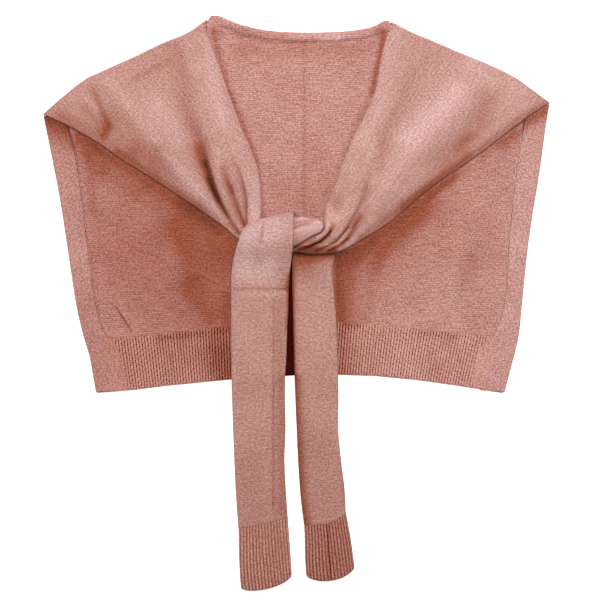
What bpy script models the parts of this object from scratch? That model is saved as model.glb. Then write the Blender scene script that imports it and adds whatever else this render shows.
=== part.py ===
"""Knitted shoulder wrap laid out flat and knotted at the front.

Metres, +Z up from the surface it lies on, +Y towards the neck, origin under the middle of its outline.
The back panel lies wrong side up. Both fronts fold over at the shoulders, run together as gathers and
cross in a half knot, and two flattened knit tubes with ribbed cuffs hang from it.
Every table is in millimetres. Left and right are the viewer's.
"""

import bpy
import numpy as np

MM = 0.001
CLOTH = 2.0                # one thickness of the knit
SEAM = 0.3                 # clearance between two pieces
PANEL_TOP = CLOTH          # height of the back panel's face
BAND_TOP = 4.1             # height of the turned side bands
BAND_WALL = 1.8
BAND_ROWS = 24
BAND_HIGHEST = 0.022       # share of a side edge left free above its band, under the front's corner
BAND_EASE = (10.0, 20.0)   # distances inside a band between which a front comes down from it
RIB_PITCH = 3.52
RIB_HEIGHT = 0.8
RIB_RUN_IN = 2.2           # length over which a rib rises at a seam
RIB_LENGTH = 65.0          # from the seam to the hem
RIB_SPAN = (-251.5, 262.5)     # between the hem's two side edges
RIB_FADE = (3.0, 16.0)         # distances from the bands between which the ribs rise
RIB_SEAM_INSET = (5.0, 2.8)    # left and right end of the hem rib inside the side edges, at its seam
RIB_HEM_INSET = (2.8, 3.6)     # and at its hem
NECK_ROLL_HEIGHT = 3.0
NECK_ROLL_LEFT = (-99.0, -88.0)    # the roll rises between these places at its left end
NECK_ROLL_RIGHT = (92.0, 103.0)    # and goes down between these at its right end
MOUND_HEIGHT = 12.0        # how far the knot stands above one layer of cloth
MOUND_REACH = 21.0
CUFF_WALL = 1.9
CUFF_RIBS = 38
CUFF_RIB_HEIGHT = 0.35     # above and below the cuff's plain surface
POINTS_PER_RIB = 4
LEAST_HOLLOW = 0.06        # height of a tie's hollow at its narrowest, as a share of its thickness

# Outline of the back panel with its bands, each from the top down or from left to right.
# columns: x, y
SIDE_LEFT = [(-304.0, 226.0), (-296.0, 187.0), (-284.2, 126.0), (-274.6, 64.2), (-265.0, 1.2),
             (-256.9, -35.2), (-248.7, -63.2), (-243.8, -89.6), (-240.6, -107.4)]
SIDE_RIGHT = [(304.0, 240.4), (298.3, 203.0), (291.4, 152.4), (284.5, 111.0), (277.6, 62.4),
              (271.9, 6.2), (266.9, -40.3), (258.1, -77.0), (250.0, -107.6)]
BAND_INNER_LEFT = [(-276.0, 238.0), (-271.9, 208.8), (-262.7, 175.8), (-254.6, 115.7), (-248.5, 64.2),
                   (-240.8, 8.4), (-232.9, -26.4), (-224.8, -41.9), (-215.2, -61.2), (-213.0, -81.6),
                   (-214.0, -106.0)]
BAND_INNER_RIGHT = [(276.5, 246.0), (271.9, 216.7), (266.1, 184.6), (259.3, 134.0), (253.5, 69.6),
                    (251.2, 22.3), (245.5, -12.1), (233.6, -40.2), (222.8, -56.4), (219.2, -75.6),
                    (220.5, -104.6)]
RIB_SEAM = [(-255.0, -42.6), (-224.8, -41.9), (-201.5, -40.6), (-157.6, -37.8), (-126.4, -31.7),
            (-80.8, -27.6), (0.0, -22.0), (48.8, -22.4), (78.8, -24.1), (124.4, -28.3),
            (172.4, -34.2), (215.2, -37.6), (265.0, -41.5)]
HEM_EDGE = [(-239.0, -108.0), (-223.0, -106.9), (-192.4, -104.3), (-157.6, -99.8), (-126.4, -96.8),
            (-79.6, -92.0), (0.0, -86.8), (50.6, -86.4), (96.2, -88.0), (142.1, -92.5),
            (172.4, -96.6), (203.0, -101.0), (233.6, -106.1), (248.6, -108.4)]
NECK_EDGE = [(-105.2, 341.0), (-102.8, 345.0), (-98.0, 345.2), (-90.8, 344.4), (-67.1, 334.7),
             (-35.2, 327.6), (4.4, 325.1), (50.3, 325.9), (80.0, 329.2), (96.2, 334.0), (104.0, 338.4),
             (111.0, 339.4)]
# Section of the neck's soft roll. columns: distance below the edge, share of the roll's height
NECK_ROLL = [(0.0, -0.25), (2.5, 0.85), (6.0, 1.0), (10.0, 0.0)]
SHOULDER_LEFT = [(-108.4, 340.6), (-123.0, 329.6), (-136.9, 321.8), (-163.6, 311.0), (-194.8, 295.9),
                 (-240.8, 275.2), (-256.9, 266.6), (-283.6, 244.8), (-304.0, 226.6)]
SHOULDER_RIGHT = [(114.0, 338.4), (137.6, 325.8), (161.6, 315.8), (195.2, 301.4), (231.2, 286.6),
                  (260.0, 272.4), (280.0, 258.4), (304.0, 240.6)]

PANEL_CORNER_LEFT = (-301.2, 224.6)    # where the back panel's edges meet under a front's corner
PANEL_CORNER_RIGHT = (301.2, 238.4)
PANEL_FOOT_LEFT = -42.3                # y of the back panel's lower corners
PANEL_FOOT_RIGHT = -41.2
SHOULDER_SHARE = 0.975                 # share of a shoulder fold that the panel's edge follows
SHOULDER_GAP = 2.0 * SEAM              # between the panel's edge and the cloth that turns round it
# Rows of the back panel as shares of its length, from the rib seam up, close together at the neck roll.
PANEL_ROWS = np.concatenate([np.linspace(0.0, 0.9, 11), [0.95, 0.972, 0.981, 0.992, 1.0]])
SHOULDER_POINTS = 13
NECK_POINTS = 19

# Left front, from the shoulder to the loop of the knot, then on under the loop to its lobe.
FRONT_LEFT_INNER = [(-108.4, 340.6), (-106.5, 322.3), (-98.2, 301.4), (-84.4, 261.8), (-68.9, 219.6),
                    (-49.6, 173.5), (-43.7, 151.2), (-42.0, 128.4), (-41.8, 98.0)]
FRONT_LEFT_OUTER = [(-304.0, 226.6), (-271.9, 211.6), (-236.9, 191.4), (-209.5, 172.1), (-175.6, 151.0),
                    (-139.6, 127.4), (-104.2, 103.9), (-83.9, 88.9), (-70.4, 77.0)]
LOBE_INNER = [(-41.8, 98.0), (-36.0, 95.4), (-22.0, 94.8), (-2.6, 96.2), (4.0, 97.4), (13.5, 101.2),
              (22.7, 101.2), (29.6, 98.6), (32.4, 94.0)]
LOBE_OUTER = [(-70.4, 77.0), (-58.0, 70.5), (-41.2, 67.4), (-20.0, 66.4), (-4.0, 66.6), (6.0, 71.6),
              (11.4, 75.2), (19.8, 80.0), (28.6, 84.6), (32.4, 90.4)]

# Right front, from the shoulder to where its folds draw together, then over the tail to a point.
FRONT_RIGHT_INNER = [(114.0, 338.4), (102.8, 299.3), (93.9, 253.4), (77.0, 217.0), (61.7, 184.8),
                     (41.1, 129.6), (35.6, 118.8), (33.6, 107.5)]
FRONT_RIGHT_OUTER = [(304.0, 240.6), (271.9, 219.0), (217.9, 177.6), (165.1, 140.9), (124.4, 107.2),
                     (104.5, 92.0), (79.3, 76.9)]
CROSS_INNER = [(33.6, 107.5), (33.4, 96.0), (33.8, 89.8), (29.6, 83.6), (20.4, 79.0), (12.0, 74.2),
               (6.6, 70.6), (-2.4, 65.2), (-7.0, 64.6)]
CROSS_OUTER = [(79.3, 76.9), (59.1, 65.0), (47.5, 60.7), (33.8, 58.9), (20.0, 58.4), (10.0, 59.4),
               (2.0, 61.0), (-3.4, 62.0), (-7.0, 62.2)]

# Folds of the fronts. across: place between the inner edge, 0, and the outer edge, 1, at the
# stations of FOLD_STATIONS. depth: share of the cloth's rise that the valley takes away there.
FOLD_STATIONS = (0.0, 0.2, 0.4, 0.55, 0.72, 1.0)
# columns: name, across at each station, depth at each station, half width at each station
FRONT_LEFT_FOLDS = [
    ("main_valley", (0.17, 0.30, 0.45, 0.635, 0.80, 0.78), (0.5, 0.6, 0.8, 0.95, 0.95, 0.2),
     (0.07, 0.08, 0.07, 0.06, 0.065, 0.07)),
    ("second_valley", (0.36, 0.36, 0.40, 0.45, 0.60, 0.36), (0.0, 0.0, 0.15, 0.8, 0.95, 0.7),
     (0.05, 0.05, 0.05, 0.05, 0.05, 0.06)),
    ("inner_crease", (0.20, 0.20, 0.235, 0.255, 0.42, 0.18), (0.0, 0.0, 0.2, 0.7, 0.85, 0.7),
     (0.04, 0.04, 0.04, 0.04, 0.045, 0.055)),
    ("corner_dent", (0.68, 0.93, 1.0, 1.0, 1.0, 1.0), (0.75, 0.6, 0.0, 0.0, 0.0, 0.0),
     (0.04, 0.035, 0.03, 0.03, 0.03, 0.03)),
]
FRONT_RIGHT_FOLDS = [
    ("inner_valley", (0.30, 0.255, 0.28, 0.42, 0.52, 0.46), (0.5, 0.5, 0.6, 0.8, 0.95, 0.9),
     (0.07, 0.07, 0.07, 0.06, 0.055, 0.06)),
    ("outer_valley", (0.66, 0.78, 0.81, 0.83, 0.86, 0.90), (0.5, 0.6, 0.6, 0.7, 0.85, 0.6),
     (0.06, 0.05, 0.05, 0.045, 0.04, 0.05)),
    ("middle_crease", (0.60, 0.60, 0.60, 0.62, 0.70, 0.70), (0.0, 0.0, 0.0, 0.55, 0.9, 0.8),
     (0.05, 0.05, 0.05, 0.05, 0.045, 0.05)),
    ("lobe_crease", (0.15, 0.15, 0.15, 0.17, 0.25, 0.18), (0.0, 0.0, 0.15, 0.6, 0.85, 0.8),
     (0.05, 0.05, 0.05, 0.05, 0.05, 0.05)),
]
# columns: place along the front from the shoulder, rise of the cloth above one layer
FRONT_RISE = [(0.0, 0.8), (0.12, 4.0), (0.3, 7.0), (0.5, 10.0), (0.62, 11.0), (0.75, 9.0), (1.0, 2.5)]
# Places along a front between which something changes.
BUNDLE_START = 0.72            # the flap ends and the bundle of the knot begins
RISE_ENDS = (0.52, 0.72)       # the folds' rise gives way to the knot's heap
WALL_FILLS = (0.50, 0.68)      # the thin wall closes to one solid with the hidden layers
EDGES_DROP = (0.50, 0.75)      # the bundle's edges come down to what it lies on
EDGE_DROP = 0.75               # share of the heap's height that its edges lose
EDGE_WIDTH = 0.16              # place across at which the heap has its whole height
HEAP_CREASE = 0.35             # share of the heap's height that a full valley takes away
STEEPEST_WALL = 1.8            # most by which a steep wall is deepened to keep its thickness
FRONT_COLUMNS = 29
FLAP_ROWS = 20
BUNDLE_ROWS = 12
# Section through the shoulder fold, heights as shares of the height at which the front lies behind it.
# columns: inset outside, height outside, inset inside, height inside
SHOULDER_CURL = [(0.5, 0.0, 2.0, 0.0), (0.0, 0.45, 2.0, 0.4), (0.1, 1.15, 2.0, 0.85), (1.1, 1.7, 2.6, 1.0)]

# Middle line of the knot's heap. columns: x, y
MOUND_LINE = [(-46.0, 83.0), (-25.0, 81.0), (5.0, 80.0), (42.0, 84.0), (62.0, 98.0)]
# Where the right front rises over the right tie: the start and end of each slope.
CROSSING_LEFT = (-18.0, -11.0)
CROSSING_RIGHT = (53.0, 60.0)
CROSSING_TOP = (68.0, 74.0)
CROSSING_ROWS = 4              # rows of the right tie that lie below the crossing

# Soft waves of the back panel where nothing lies on it.
# columns: start x, start y, end x, end y, half width, height
PANEL_WAVES = [(-136.0, 44.0, -131.0, 4.0, 15.0, 2.6), (-200.0, 60.0, -187.0, 10.0, 18.0, 1.6),
               (148.0, 60.0, 126.0, 10.0, 16.0, 2.6), (215.0, 96.0, 192.0, 20.0, 14.0, 1.8)]

# Cross section of a flattened tie. columns: place across, top, bottom, as shares of its thickness
TIE_SECTION = [(0.0, 0.45, 0.45), (0.025, 0.80, 0.12), (0.09, 1.0, 0.0), (0.25, 1.0, 0.0),
               (0.42, 0.97, 0.0), (0.58, 0.97, 0.0), (0.72, 1.0, 0.0), (0.77, 0.88, 0.0),
               (0.87, 0.66, 0.0), (0.965, 0.46, 0.04), (1.0, 0.22, 0.22)]
# Left tie from behind the bundles up, over them and down to its cuff.
# columns: left x, y, z, right x, y, z, crown, bow, lean in degrees, thickness
TIE_LEFT_ROWS = [
    (-37.0, 99.0, 2.8, 8.0, 102.6, 2.8, 0.0, 0.0, 90.0, 3.0),
    (-38.0, 99.0, 9.0, 5.5, 104.8, 8.0, 0.0, 0.0, 86.0, 3.2),
    (-43.0, 98.6, 15.0, 1.0, 108.0, 14.5, 1.0, 0.0, 74.0, 3.6),
    (-53.0, 95.6, 18.4, -2.4, 109.4, 19.2, 1.4, 0.0, 52.0, 4.0),
    (-61.0, 90.6, 19.2, -3.2, 106.2, 21.6, 1.6, 0.0, 24.0, 4.4),
    (-65.8, 82.6, 18.4, -3.2, 96.0, 22.2, 2.0, 0.0, 4.0, 4.6),
    (-69.8, 72.6, 16.8, -3.4, 82.0, 21.6, 2.4, 0.0, -12.0, 4.6),
    (-73.6, 60.0, 13.6, -4.0, 67.0, 18.6, 2.4, 0.0, -24.0, 4.6),
    (-76.6, 47.0, 9.4, -5.6, 52.0, 12.4, 1.6, 0.0, -24.0, 4.8),
    (-78.3, 34.0, 6.2, -7.6, 37.0, 7.2, 0.6, 0.0, -12.0, 5.2),
    (-78.7, 18.0, 5.1, -9.6, 20.0, 5.2, 0.0, 0.0, -2.0, 5.6),
    (-78.6, -14.0, 5.2, -11.6, -14.0, 5.2, 0.0, 0.0, 0.0, 5.6),
    (-78.5, -26.0, 5.95, -12.2, -26.0, 5.95, 0.0, 0.0, 0.0, 5.6),
    (-78.3, -70.0, 5.95, -13.2, -70.0, 5.95, 0.0, 0.0, 0.0, 5.6),
    (-78.0, -90.0, 5.95, -13.4, -90.0, 5.95, 0.0, 0.0, 3.0, 5.6),
    (-77.4, -112.0, 2.9, -13.6, -112.0, 2.9, 0.0, 0.0, 3.0, 5.6),
    (-76.2, -150.0, 2.8, -12.9, -150.0, 2.8, 0.0, 0.0, 0.0, 5.6),
    (-74.6, -188.0, 2.8, -14.2, -186.0, 2.8, 0.0, 0.0, 0.0, 5.6),
    (-72.6, -230.0, 2.8, -12.7, -222.0, 2.8, 0.0, -1.0, 0.0, 5.6),
    (-69.8, -269.3, 2.8, -10.3, -256.4, 2.8, 0.0, -2.5, 0.0, 5.6),
]
# Right tie, same columns, from under the right front down to its cuff.
TIE_RIGHT_ROWS = [
    (-4.4, 61.2, 4.0, 47.0, 66.5, 4.0, 0.0, 0.0, 0.0, 3.0),
    (-5.0, 54.0, 4.6, 46.5, 56.0, 4.6, 0.0, 0.0, 0.0, 4.2),
    (-5.2, 44.0, 5.1, 44.2, 43.2, 5.1, 0.0, 0.0, 0.0, 5.4),
    (-5.2, 30.0, 5.2, 44.8, 30.0, 5.2, 0.0, 0.0, 0.0, 5.6),
    (-4.6, 6.0, 5.2, 46.8, 6.0, 5.2, 0.0, 0.0, 0.0, 5.6),
    (-4.1, -14.0, 5.2, 47.8, -14.0, 5.2, 0.0, 0.0, 0.0, 5.6),
    (-3.8, -26.0, 5.95, 48.4, -26.0, 5.95, 0.0, 0.0, 0.0, 5.6),
    (-2.8, -68.0, 5.95, 49.8, -68.0, 5.95, 0.0, 0.0, 0.0, 5.6),
    (-2.2, -90.0, 5.95, 50.3, -90.0, 5.95, 0.0, 0.0, 3.0, 5.6),
    (-1.4, -112.0, 2.9, 50.7, -112.0, 2.9, 0.0, 0.0, 3.0, 5.6),
    (0.4, -154.0, 2.8, 50.4, -152.0, 2.8, 0.0, 0.0, 0.0, 5.6),
    (2.4, -196.0, 2.8, 54.0, -190.0, 2.8, 0.0, 0.0, 0.0, 5.6),
    (5.2, -234.0, 2.8, 58.0, -224.0, 2.8, 0.0, -2.0, 0.0, 5.6),
    (8.9, -264.3, 2.8, 59.5, -251.0, 2.8, 0.0, -7.0, 0.0, 5.6),
]
# Cuffs, same columns, from the seam to the open end.
CUFF_LEFT_ROWS = [
    (-69.75, -269.65, 2.8, -10.25, -256.75, 2.8, 0.0, -2.5, 0.0, 5.6),
    (-69.7, -272.0, 2.8, -10.1, -259.0, 2.8, 0.0, -2.6, 0.0, 5.6),
    (-66.8, -340.2, 2.8, -5.6, -325.2, 2.8, 0.0, -8.4, 0.0, 5.6),
    (-66.6, -342.0, 2.8, -5.5, -327.0, 2.8, 0.0, -8.6, 0.0, 5.2),
]
CUFF_RIGHT_ROWS = [
    (8.95, -264.65, 2.8, 59.55, -251.35, 2.8, 0.0, -7.0, 0.0, 5.6),
    (9.1, -267.0, 2.8, 60.0, -253.6, 2.8, 0.0, -7.0, 0.0, 5.6),
    (11.6, -324.6, 2.8, 69.6, -315.0, 2.8, 0.0, -11.4, 0.0, 5.6),
    (11.8, -326.4, 2.8, 69.8, -316.8, 2.8, 0.0, -11.6, 0.0, 5.2),
]
TIE_HOLLOW_ROWS = 7        # rows at a tie's lower end through which it is hollow
BOW_FLATNESS = 0.65         # below 1, a bowed end is flat in its middle and round at its corners
HOLLOW_ACROSS = (0.05, 0.2, 0.45, 0.7, 0.88)

# columns: name, colour, roughness
KNITS = {
    "panel_knit": ((0.56, 0.27, 0.22), 0.92),
    "rib_knit": ((0.50, 0.235, 0.19), 0.94),
    "band_knit": ((0.58, 0.29, 0.24), 0.92),
    "front_knit": ((0.63, 0.34, 0.29), 0.90),
    "tie_knit": ((0.57, 0.30, 0.25), 0.90),
}


def smooth_step(value, start, end):
    """0 below start, 1 above end and an even S between them."""
    share = np.clip((np.asarray(value, float) - start) / (end - start), 0.0, 1.0)
    return share * share * (3.0 - 2.0 * share)


def curve_through(table, shares):
    """Points at shares of the length of a smooth curve through the table's points."""
    points = np.asarray(table, float)
    before = np.vstack([2.0 * points[0] - points[1], points[:-1]])
    after = np.vstack([points[1:], 2.0 * points[-1] - points[-2]])
    slopes = 0.5 * (after - before)
    steps = np.linspace(0.0, 1.0, 13)[:-1, None, None]
    a, b = points[:-1], points[1:]
    slope_a, slope_b = slopes[:-1], slopes[1:]
    fine = ((2 * steps**3 - 3 * steps**2 + 1) * a + (steps**3 - 2 * steps**2 + steps) * slope_a
            + (3 * steps**2 - 2 * steps**3) * b + (steps**3 - steps**2) * slope_b)
    fine = np.vstack([fine.transpose(1, 0, 2).reshape(-1, points.shape[1]), points[-1:]])
    lengths = np.concatenate([[0.0], np.cumsum(np.linalg.norm(np.diff(fine, axis=0), axis=1))])
    lengths /= lengths[-1]
    return np.stack([np.interp(shares, lengths, fine[:, k]) for k in range(points.shape[1])], axis=-1)


def x_at(table, y):
    """Place across of a side edge at a height y, its table running from the top down."""
    rows = np.asarray(table, float)[::-1]
    return np.interp(y, rows[:, 1], rows[:, 0])


def y_at(table, x):
    """Height of a seam or hem at a place x, its table running from left to right."""
    rows = np.asarray(table, float)
    return np.interp(x, rows[:, 0], rows[:, 1])


def patch_between(left, right, start, end, across, along):
    """Grid of points (along, across) of a sheet spanned between four edge curves."""
    u = np.asarray(across)[None, :, None]
    v = np.asarray(along)[:, None, None]
    edge_left = curve_through(left, along)[:, None, :]
    edge_right = curve_through(right, along)[:, None, :]
    edge_start = curve_through(start, across)[None, :, :]
    edge_end = curve_through(end, across)[None, :, :]
    corners = ((1 - u) * (1 - v) * np.asarray(start[0]) + u * (1 - v) * np.asarray(start[-1])
               + (1 - u) * v * np.asarray(end[0]) + u * v * np.asarray(end[-1]))
    return (1 - u) * edge_left + u * edge_right + (1 - v) * edge_start + v * edge_end - corners


def distance_to_line(x, y, line):
    """Distance of points to the nearest stretch of a polyline."""
    points = np.stack([np.asarray(x, float), np.asarray(y, float)], axis=-1)
    nearest = np.full(points.shape[:-1], np.inf)
    for start, end in zip(np.asarray(line[:-1], float), np.asarray(line[1:], float)):
        run = end - start
        share = np.clip(((points - start) @ run) / (run @ run), 0.0, 1.0)
        nearest = np.minimum(nearest, np.linalg.norm(points - start - share[..., None] * run, axis=-1))
    return nearest


def panel_lift(x, y):
    """Height by which the back panel's soft waves lift off the surface."""
    lift = np.zeros(np.broadcast(x, y).shape)
    for start_x, start_y, end_x, end_y, half_width, height in PANEL_WAVES:
        away = distance_to_line(x, y, [(start_x, start_y), (end_x, end_y)])
        lift = np.maximum(lift, height * (1.0 - smooth_step(away, 0.0, 2.0 * half_width)))
    return lift


def mound_height(x, y):
    """Height of the knot's heap above one layer of cloth."""
    return MOUND_HEIGHT * np.exp(-(distance_to_line(x, y, MOUND_LINE) / MOUND_REACH) ** 2)


def rest_height(x, y):
    """Height at which a front lies: just above the panel, its bands and its waves."""
    from_left = x - x_at(BAND_INNER_LEFT, y)
    from_right = x_at(BAND_INNER_RIGHT, y) - x
    beside_band = 1.0 - smooth_step(np.minimum(from_left, from_right), *BAND_EASE)
    return PANEL_TOP + panel_lift(x, y) + (BAND_TOP - PANEL_TOP) * beside_band + SEAM


def tie_right_cover(x, y):
    """Height just above the right tie where the right front crosses it, else 0."""
    rows = np.asarray(TIE_RIGHT_ROWS[:CROSSING_ROWS])
    tops = rows[:, 5] + 0.5 * rows[:, 9] + 2.0 * SEAM
    top = np.interp(-y, -rows[:, 4], tops)
    inside = (smooth_step(x, *CROSSING_LEFT) * (1.0 - smooth_step(x, *CROSSING_RIGHT))
              * (1.0 - smooth_step(y, *CROSSING_TOP)))
    return top * inside


def new_mesh_object(name, points, faces, knit):
    """One closed cloth solid from points in millimetres and its faces."""
    mesh = bpy.data.meshes.new(name)
    mesh.from_pydata((np.asarray(points) * MM).tolist(), [], [tuple(map(int, face)) for face in faces])
    mesh.update()
    made = bpy.data.objects.new(name, mesh)
    bpy.context.collection.objects.link(made)
    made.data.materials.append(knit_material(name + "_" + knit, knit))
    return made


def knit_material(name, knit):
    """A matt knitted cloth's material."""
    colour, roughness = KNITS[knit]
    material = bpy.data.materials.new(name)
    material.use_nodes = True
    shader = material.node_tree.nodes["Principled BSDF"]
    shader.inputs["Base Color"].default_value = (*colour, 1.0)
    shader.inputs["Roughness"].default_value = roughness
    shader.inputs["Metallic"].default_value = 0.0
    return material


def split_quad(a, b, c, d):
    """Two triangles of one four-sided cell."""
    return [(a, b, c), (a, c, d)]


def wall_solid(name, top, bottom, knit):
    """A closed wall between two grids of the same shape, rimmed all round."""
    rows, columns = top.shape[:2]
    points = np.vstack([top.reshape(-1, 3), bottom.reshape(-1, 3)])
    below = rows * columns
    faces = []
    for row in range(rows - 1):
        for column in range(columns - 1):
            a = row * columns + column
            b, c, d = a + 1, a + columns + 1, a + columns
            faces += split_quad(a, b, c, d)
            faces += split_quad(below + a, below + d, below + c, below + b)
    rim = ([column for column in range(columns)]
           + [row * columns + columns - 1 for row in range(1, rows)]
           + [(rows - 1) * columns + column for column in range(columns - 2, -1, -1)]
           + [row * columns for row in range(rows - 2, 0, -1)])
    for a, b in zip(rim, rim[1:] + rim[:1]):
        faces += split_quad(a, below + a, below + b, b)
    return new_mesh_object(name, points, turn_outward(points, faces), knit)


def turn_outward(points, faces):
    """The same faces, turned over together where they enclose a negative volume."""
    corners = np.asarray(points)[np.asarray(faces)]
    volume = np.einsum("ij,ij->i", corners[:, 0], np.cross(corners[:, 1], corners[:, 2])).sum()
    return faces if volume > 0 else [face[::-1] for face in faces]


def stitch(first, first_shares, second, second_shares, closed):
    """Triangles of a strip between two chains of points, matched by their shares along it."""
    faces = []
    i, j = 0, 0
    count_first, count_second = len(first), len(second)
    last_first = count_first if closed else count_first - 1
    last_second = count_second if closed else count_second - 1
    while i < last_first or j < last_second:
        next_first = first_shares[i + 1] if i + 1 < count_first else 1.0
        next_second = second_shares[j + 1] if j + 1 < count_second else 1.0
        take_first = j >= last_second or (i < last_first and next_first <= next_second)
        if take_first:
            faces.append((first[i % count_first], first[(i + 1) % count_first], second[j % count_second]))
            i += 1
        else:
            faces.append((first[i % count_first], second[(j + 1) % count_second], second[j % count_second]))
            j += 1
    return faces


def inside_edge(outer, inset, y):
    """Place across of a panel's edge that lies a set distance inside a side edge."""
    fine = offset_inward(curve_through(outer, np.linspace(0.0, 1.0, 80)), inset)[::-1]
    return np.interp(y, fine[:, 1], fine[:, 0])


def back_panel():
    """The back from its neck edge and shoulder folds to the rib seam, edges inside the bands."""
    inset = BAND_WALL + 2.0 * SEAM
    shoulder_inset = SHOULDER_CURL[0][2] + SHOULDER_GAP
    shares = np.linspace(0.0, SHOULDER_SHARE, SHOULDER_POINTS)
    top_left = offset_inward(curve_through(SHOULDER_LEFT, shares), shoulder_inset)[::-1]
    top_right = offset_inward(curve_through(SHOULDER_RIGHT, shares), -shoulder_inset)
    neck = curve_through(NECK_EDGE, np.linspace(0.0, 1.0, NECK_POINTS))
    top = np.vstack([PANEL_CORNER_LEFT, top_left, neck, top_right, PANEL_CORNER_RIGHT])
    across = np.concatenate([[0.0], np.cumsum(np.linalg.norm(np.diff(top, axis=0), axis=1))])
    across /= across[-1]
    seam_start = inside_edge(SIDE_LEFT, inset, PANEL_FOOT_LEFT)
    seam_end = inside_edge(SIDE_RIGHT, -inset, PANEL_FOOT_RIGHT)
    seam_x = seam_start + (seam_end - seam_start) * across
    seam = np.stack([seam_x, y_at(RIB_SEAM, seam_x) + SEAM], axis=-1)
    left_y = seam[0, 1] + (top[0, 1] - seam[0, 1]) * PANEL_ROWS
    right_y = seam[-1, 1] + (top[-1, 1] - seam[-1, 1]) * PANEL_ROWS
    side_left = np.stack([inside_edge(SIDE_LEFT, inset, left_y), left_y], axis=-1)
    side_right = np.stack([inside_edge(SIDE_RIGHT, -inset, right_y), right_y], axis=-1)
    u = across[None, :, None]
    v = PANEL_ROWS[:, None, None]
    corners = ((1 - u) * (1 - v) * seam[0] + u * (1 - v) * seam[-1]
               + (1 - u) * v * top[0] + u * v * top[-1])
    grid = ((1 - u) * side_left[:, None] + u * side_right[:, None] + (1 - v) * seam[None] + v * top[None]
            - corners)
    x, y = grid[..., 0], grid[..., 1]
    lift = panel_lift(x, y)
    below_neck = y_at(NECK_EDGE, x) - y
    in_neck = smooth_step(x, *NECK_ROLL_LEFT) * (1.0 - smooth_step(x, *NECK_ROLL_RIGHT))
    roll = np.interp(below_neck, *np.transpose(NECK_ROLL))
    face = PANEL_TOP + lift + NECK_ROLL_HEIGHT * roll * in_neck
    return wall_solid("back_panel", np.dstack([x, y, face]), np.dstack([x, y, lift]), "panel_knit")


def offset_inward(points, inset):
    """A chain of points moved sideways, to its left for a positive inset."""
    run = np.gradient(points, axis=0)
    run /= np.linalg.norm(run, axis=1)[:, None]
    return points + inset * np.stack([-run[:, 1], run[:, 0]], axis=-1)


def hem_rib():
    """The ribbed band below the arched seam, its ribs fading into plain knit at both corners."""
    ribs = int(round((RIB_SPAN[1] - RIB_SPAN[0]) / RIB_PITCH))
    fine = np.linspace(0.0, 1.0, ribs * 3 + 1)
    crest = np.where(np.arange(len(fine)) % 3 == 0, 0.0, 1.0)
    coarse = np.linspace(0.0, 1.0, 41)
    seam_ends = (x_at(SIDE_LEFT, RIB_SEAM[0][1]) + RIB_SEAM_INSET[0],
                 x_at(SIDE_RIGHT, RIB_SEAM[-1][1]) - RIB_SEAM_INSET[1])
    hem_y = HEM_EDGE[0][1] + 3.0
    hem_ends = (x_at(SIDE_LEFT, hem_y) + RIB_HEM_INSET[0], x_at(SIDE_RIGHT, hem_y) - RIB_HEM_INSET[1])

    def chain(shares, down, height):
        """Points across the band, down from the seam, 0, to the hem, 1."""
        seam_x = seam_ends[0] + (seam_ends[1] - seam_ends[0]) * shares
        hem_x = hem_ends[0] + (hem_ends[1] - hem_ends[0]) * shares
        seam_y = y_at(RIB_SEAM, seam_x) - 0.5 * SEAM
        x = seam_x + (hem_x - seam_x) * down
        y = seam_y + (y_at(HEM_EDGE, hem_x) - seam_y) * down
        return np.stack([x, y, np.broadcast_to(height, x.shape)], axis=-1)

    def rib_tops(shares, down):
        """Heights of the ribs, lower towards the corners where the knit is plain."""
        points = chain(shares, down, 0.0)
        fade = (smooth_step(points[:, 0] - x_at(BAND_INNER_LEFT, points[:, 1]), *RIB_FADE)
                * smooth_step(x_at(BAND_INNER_RIGHT, points[:, 1]) - points[:, 0], *RIB_FADE))
        return CLOTH + RIB_HEIGHT * crest * fade

    run_in = RIB_RUN_IN / RIB_LENGTH
    chains = [(coarse, chain(coarse, 0.0, 0.85 * CLOTH)),
              (fine, chain(fine, run_in, rib_tops(fine, run_in))),
              (fine, chain(fine, 1.0 - run_in, rib_tops(fine, 1.0 - run_in))),
              (coarse, chain(coarse, 1.0, 0.6 * CLOTH)),
              (coarse, chain(coarse, 1.0, 0.0)),
              (coarse, chain(coarse, 0.0, 0.0))]
    starts = np.concatenate([[0], np.cumsum([len(shares) for shares, _ in chains])])
    faces = []
    for k in range(len(chains)):
        following = (k + 1) % len(chains)
        first = list(range(starts[k], starts[k + 1]))
        second = list(range(starts[following], starts[following + 1]))
        faces += stitch(first, chains[k][0], second, chains[following][0], False)
    left_end = [int(start) for start in starts[:-1]]
    right_end = [int(start) - 1 for start in starts[1:]]
    for k in range(1, len(chains) - 1):
        faces.append((left_end[0], left_end[k], left_end[k + 1]))
        faces.append((right_end[0], right_end[k + 1], right_end[k]))
    points = np.vstack([points for _, points in chains])
    return new_mesh_object("hem_rib", points, turn_outward(points, faces), "rib_knit")


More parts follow.
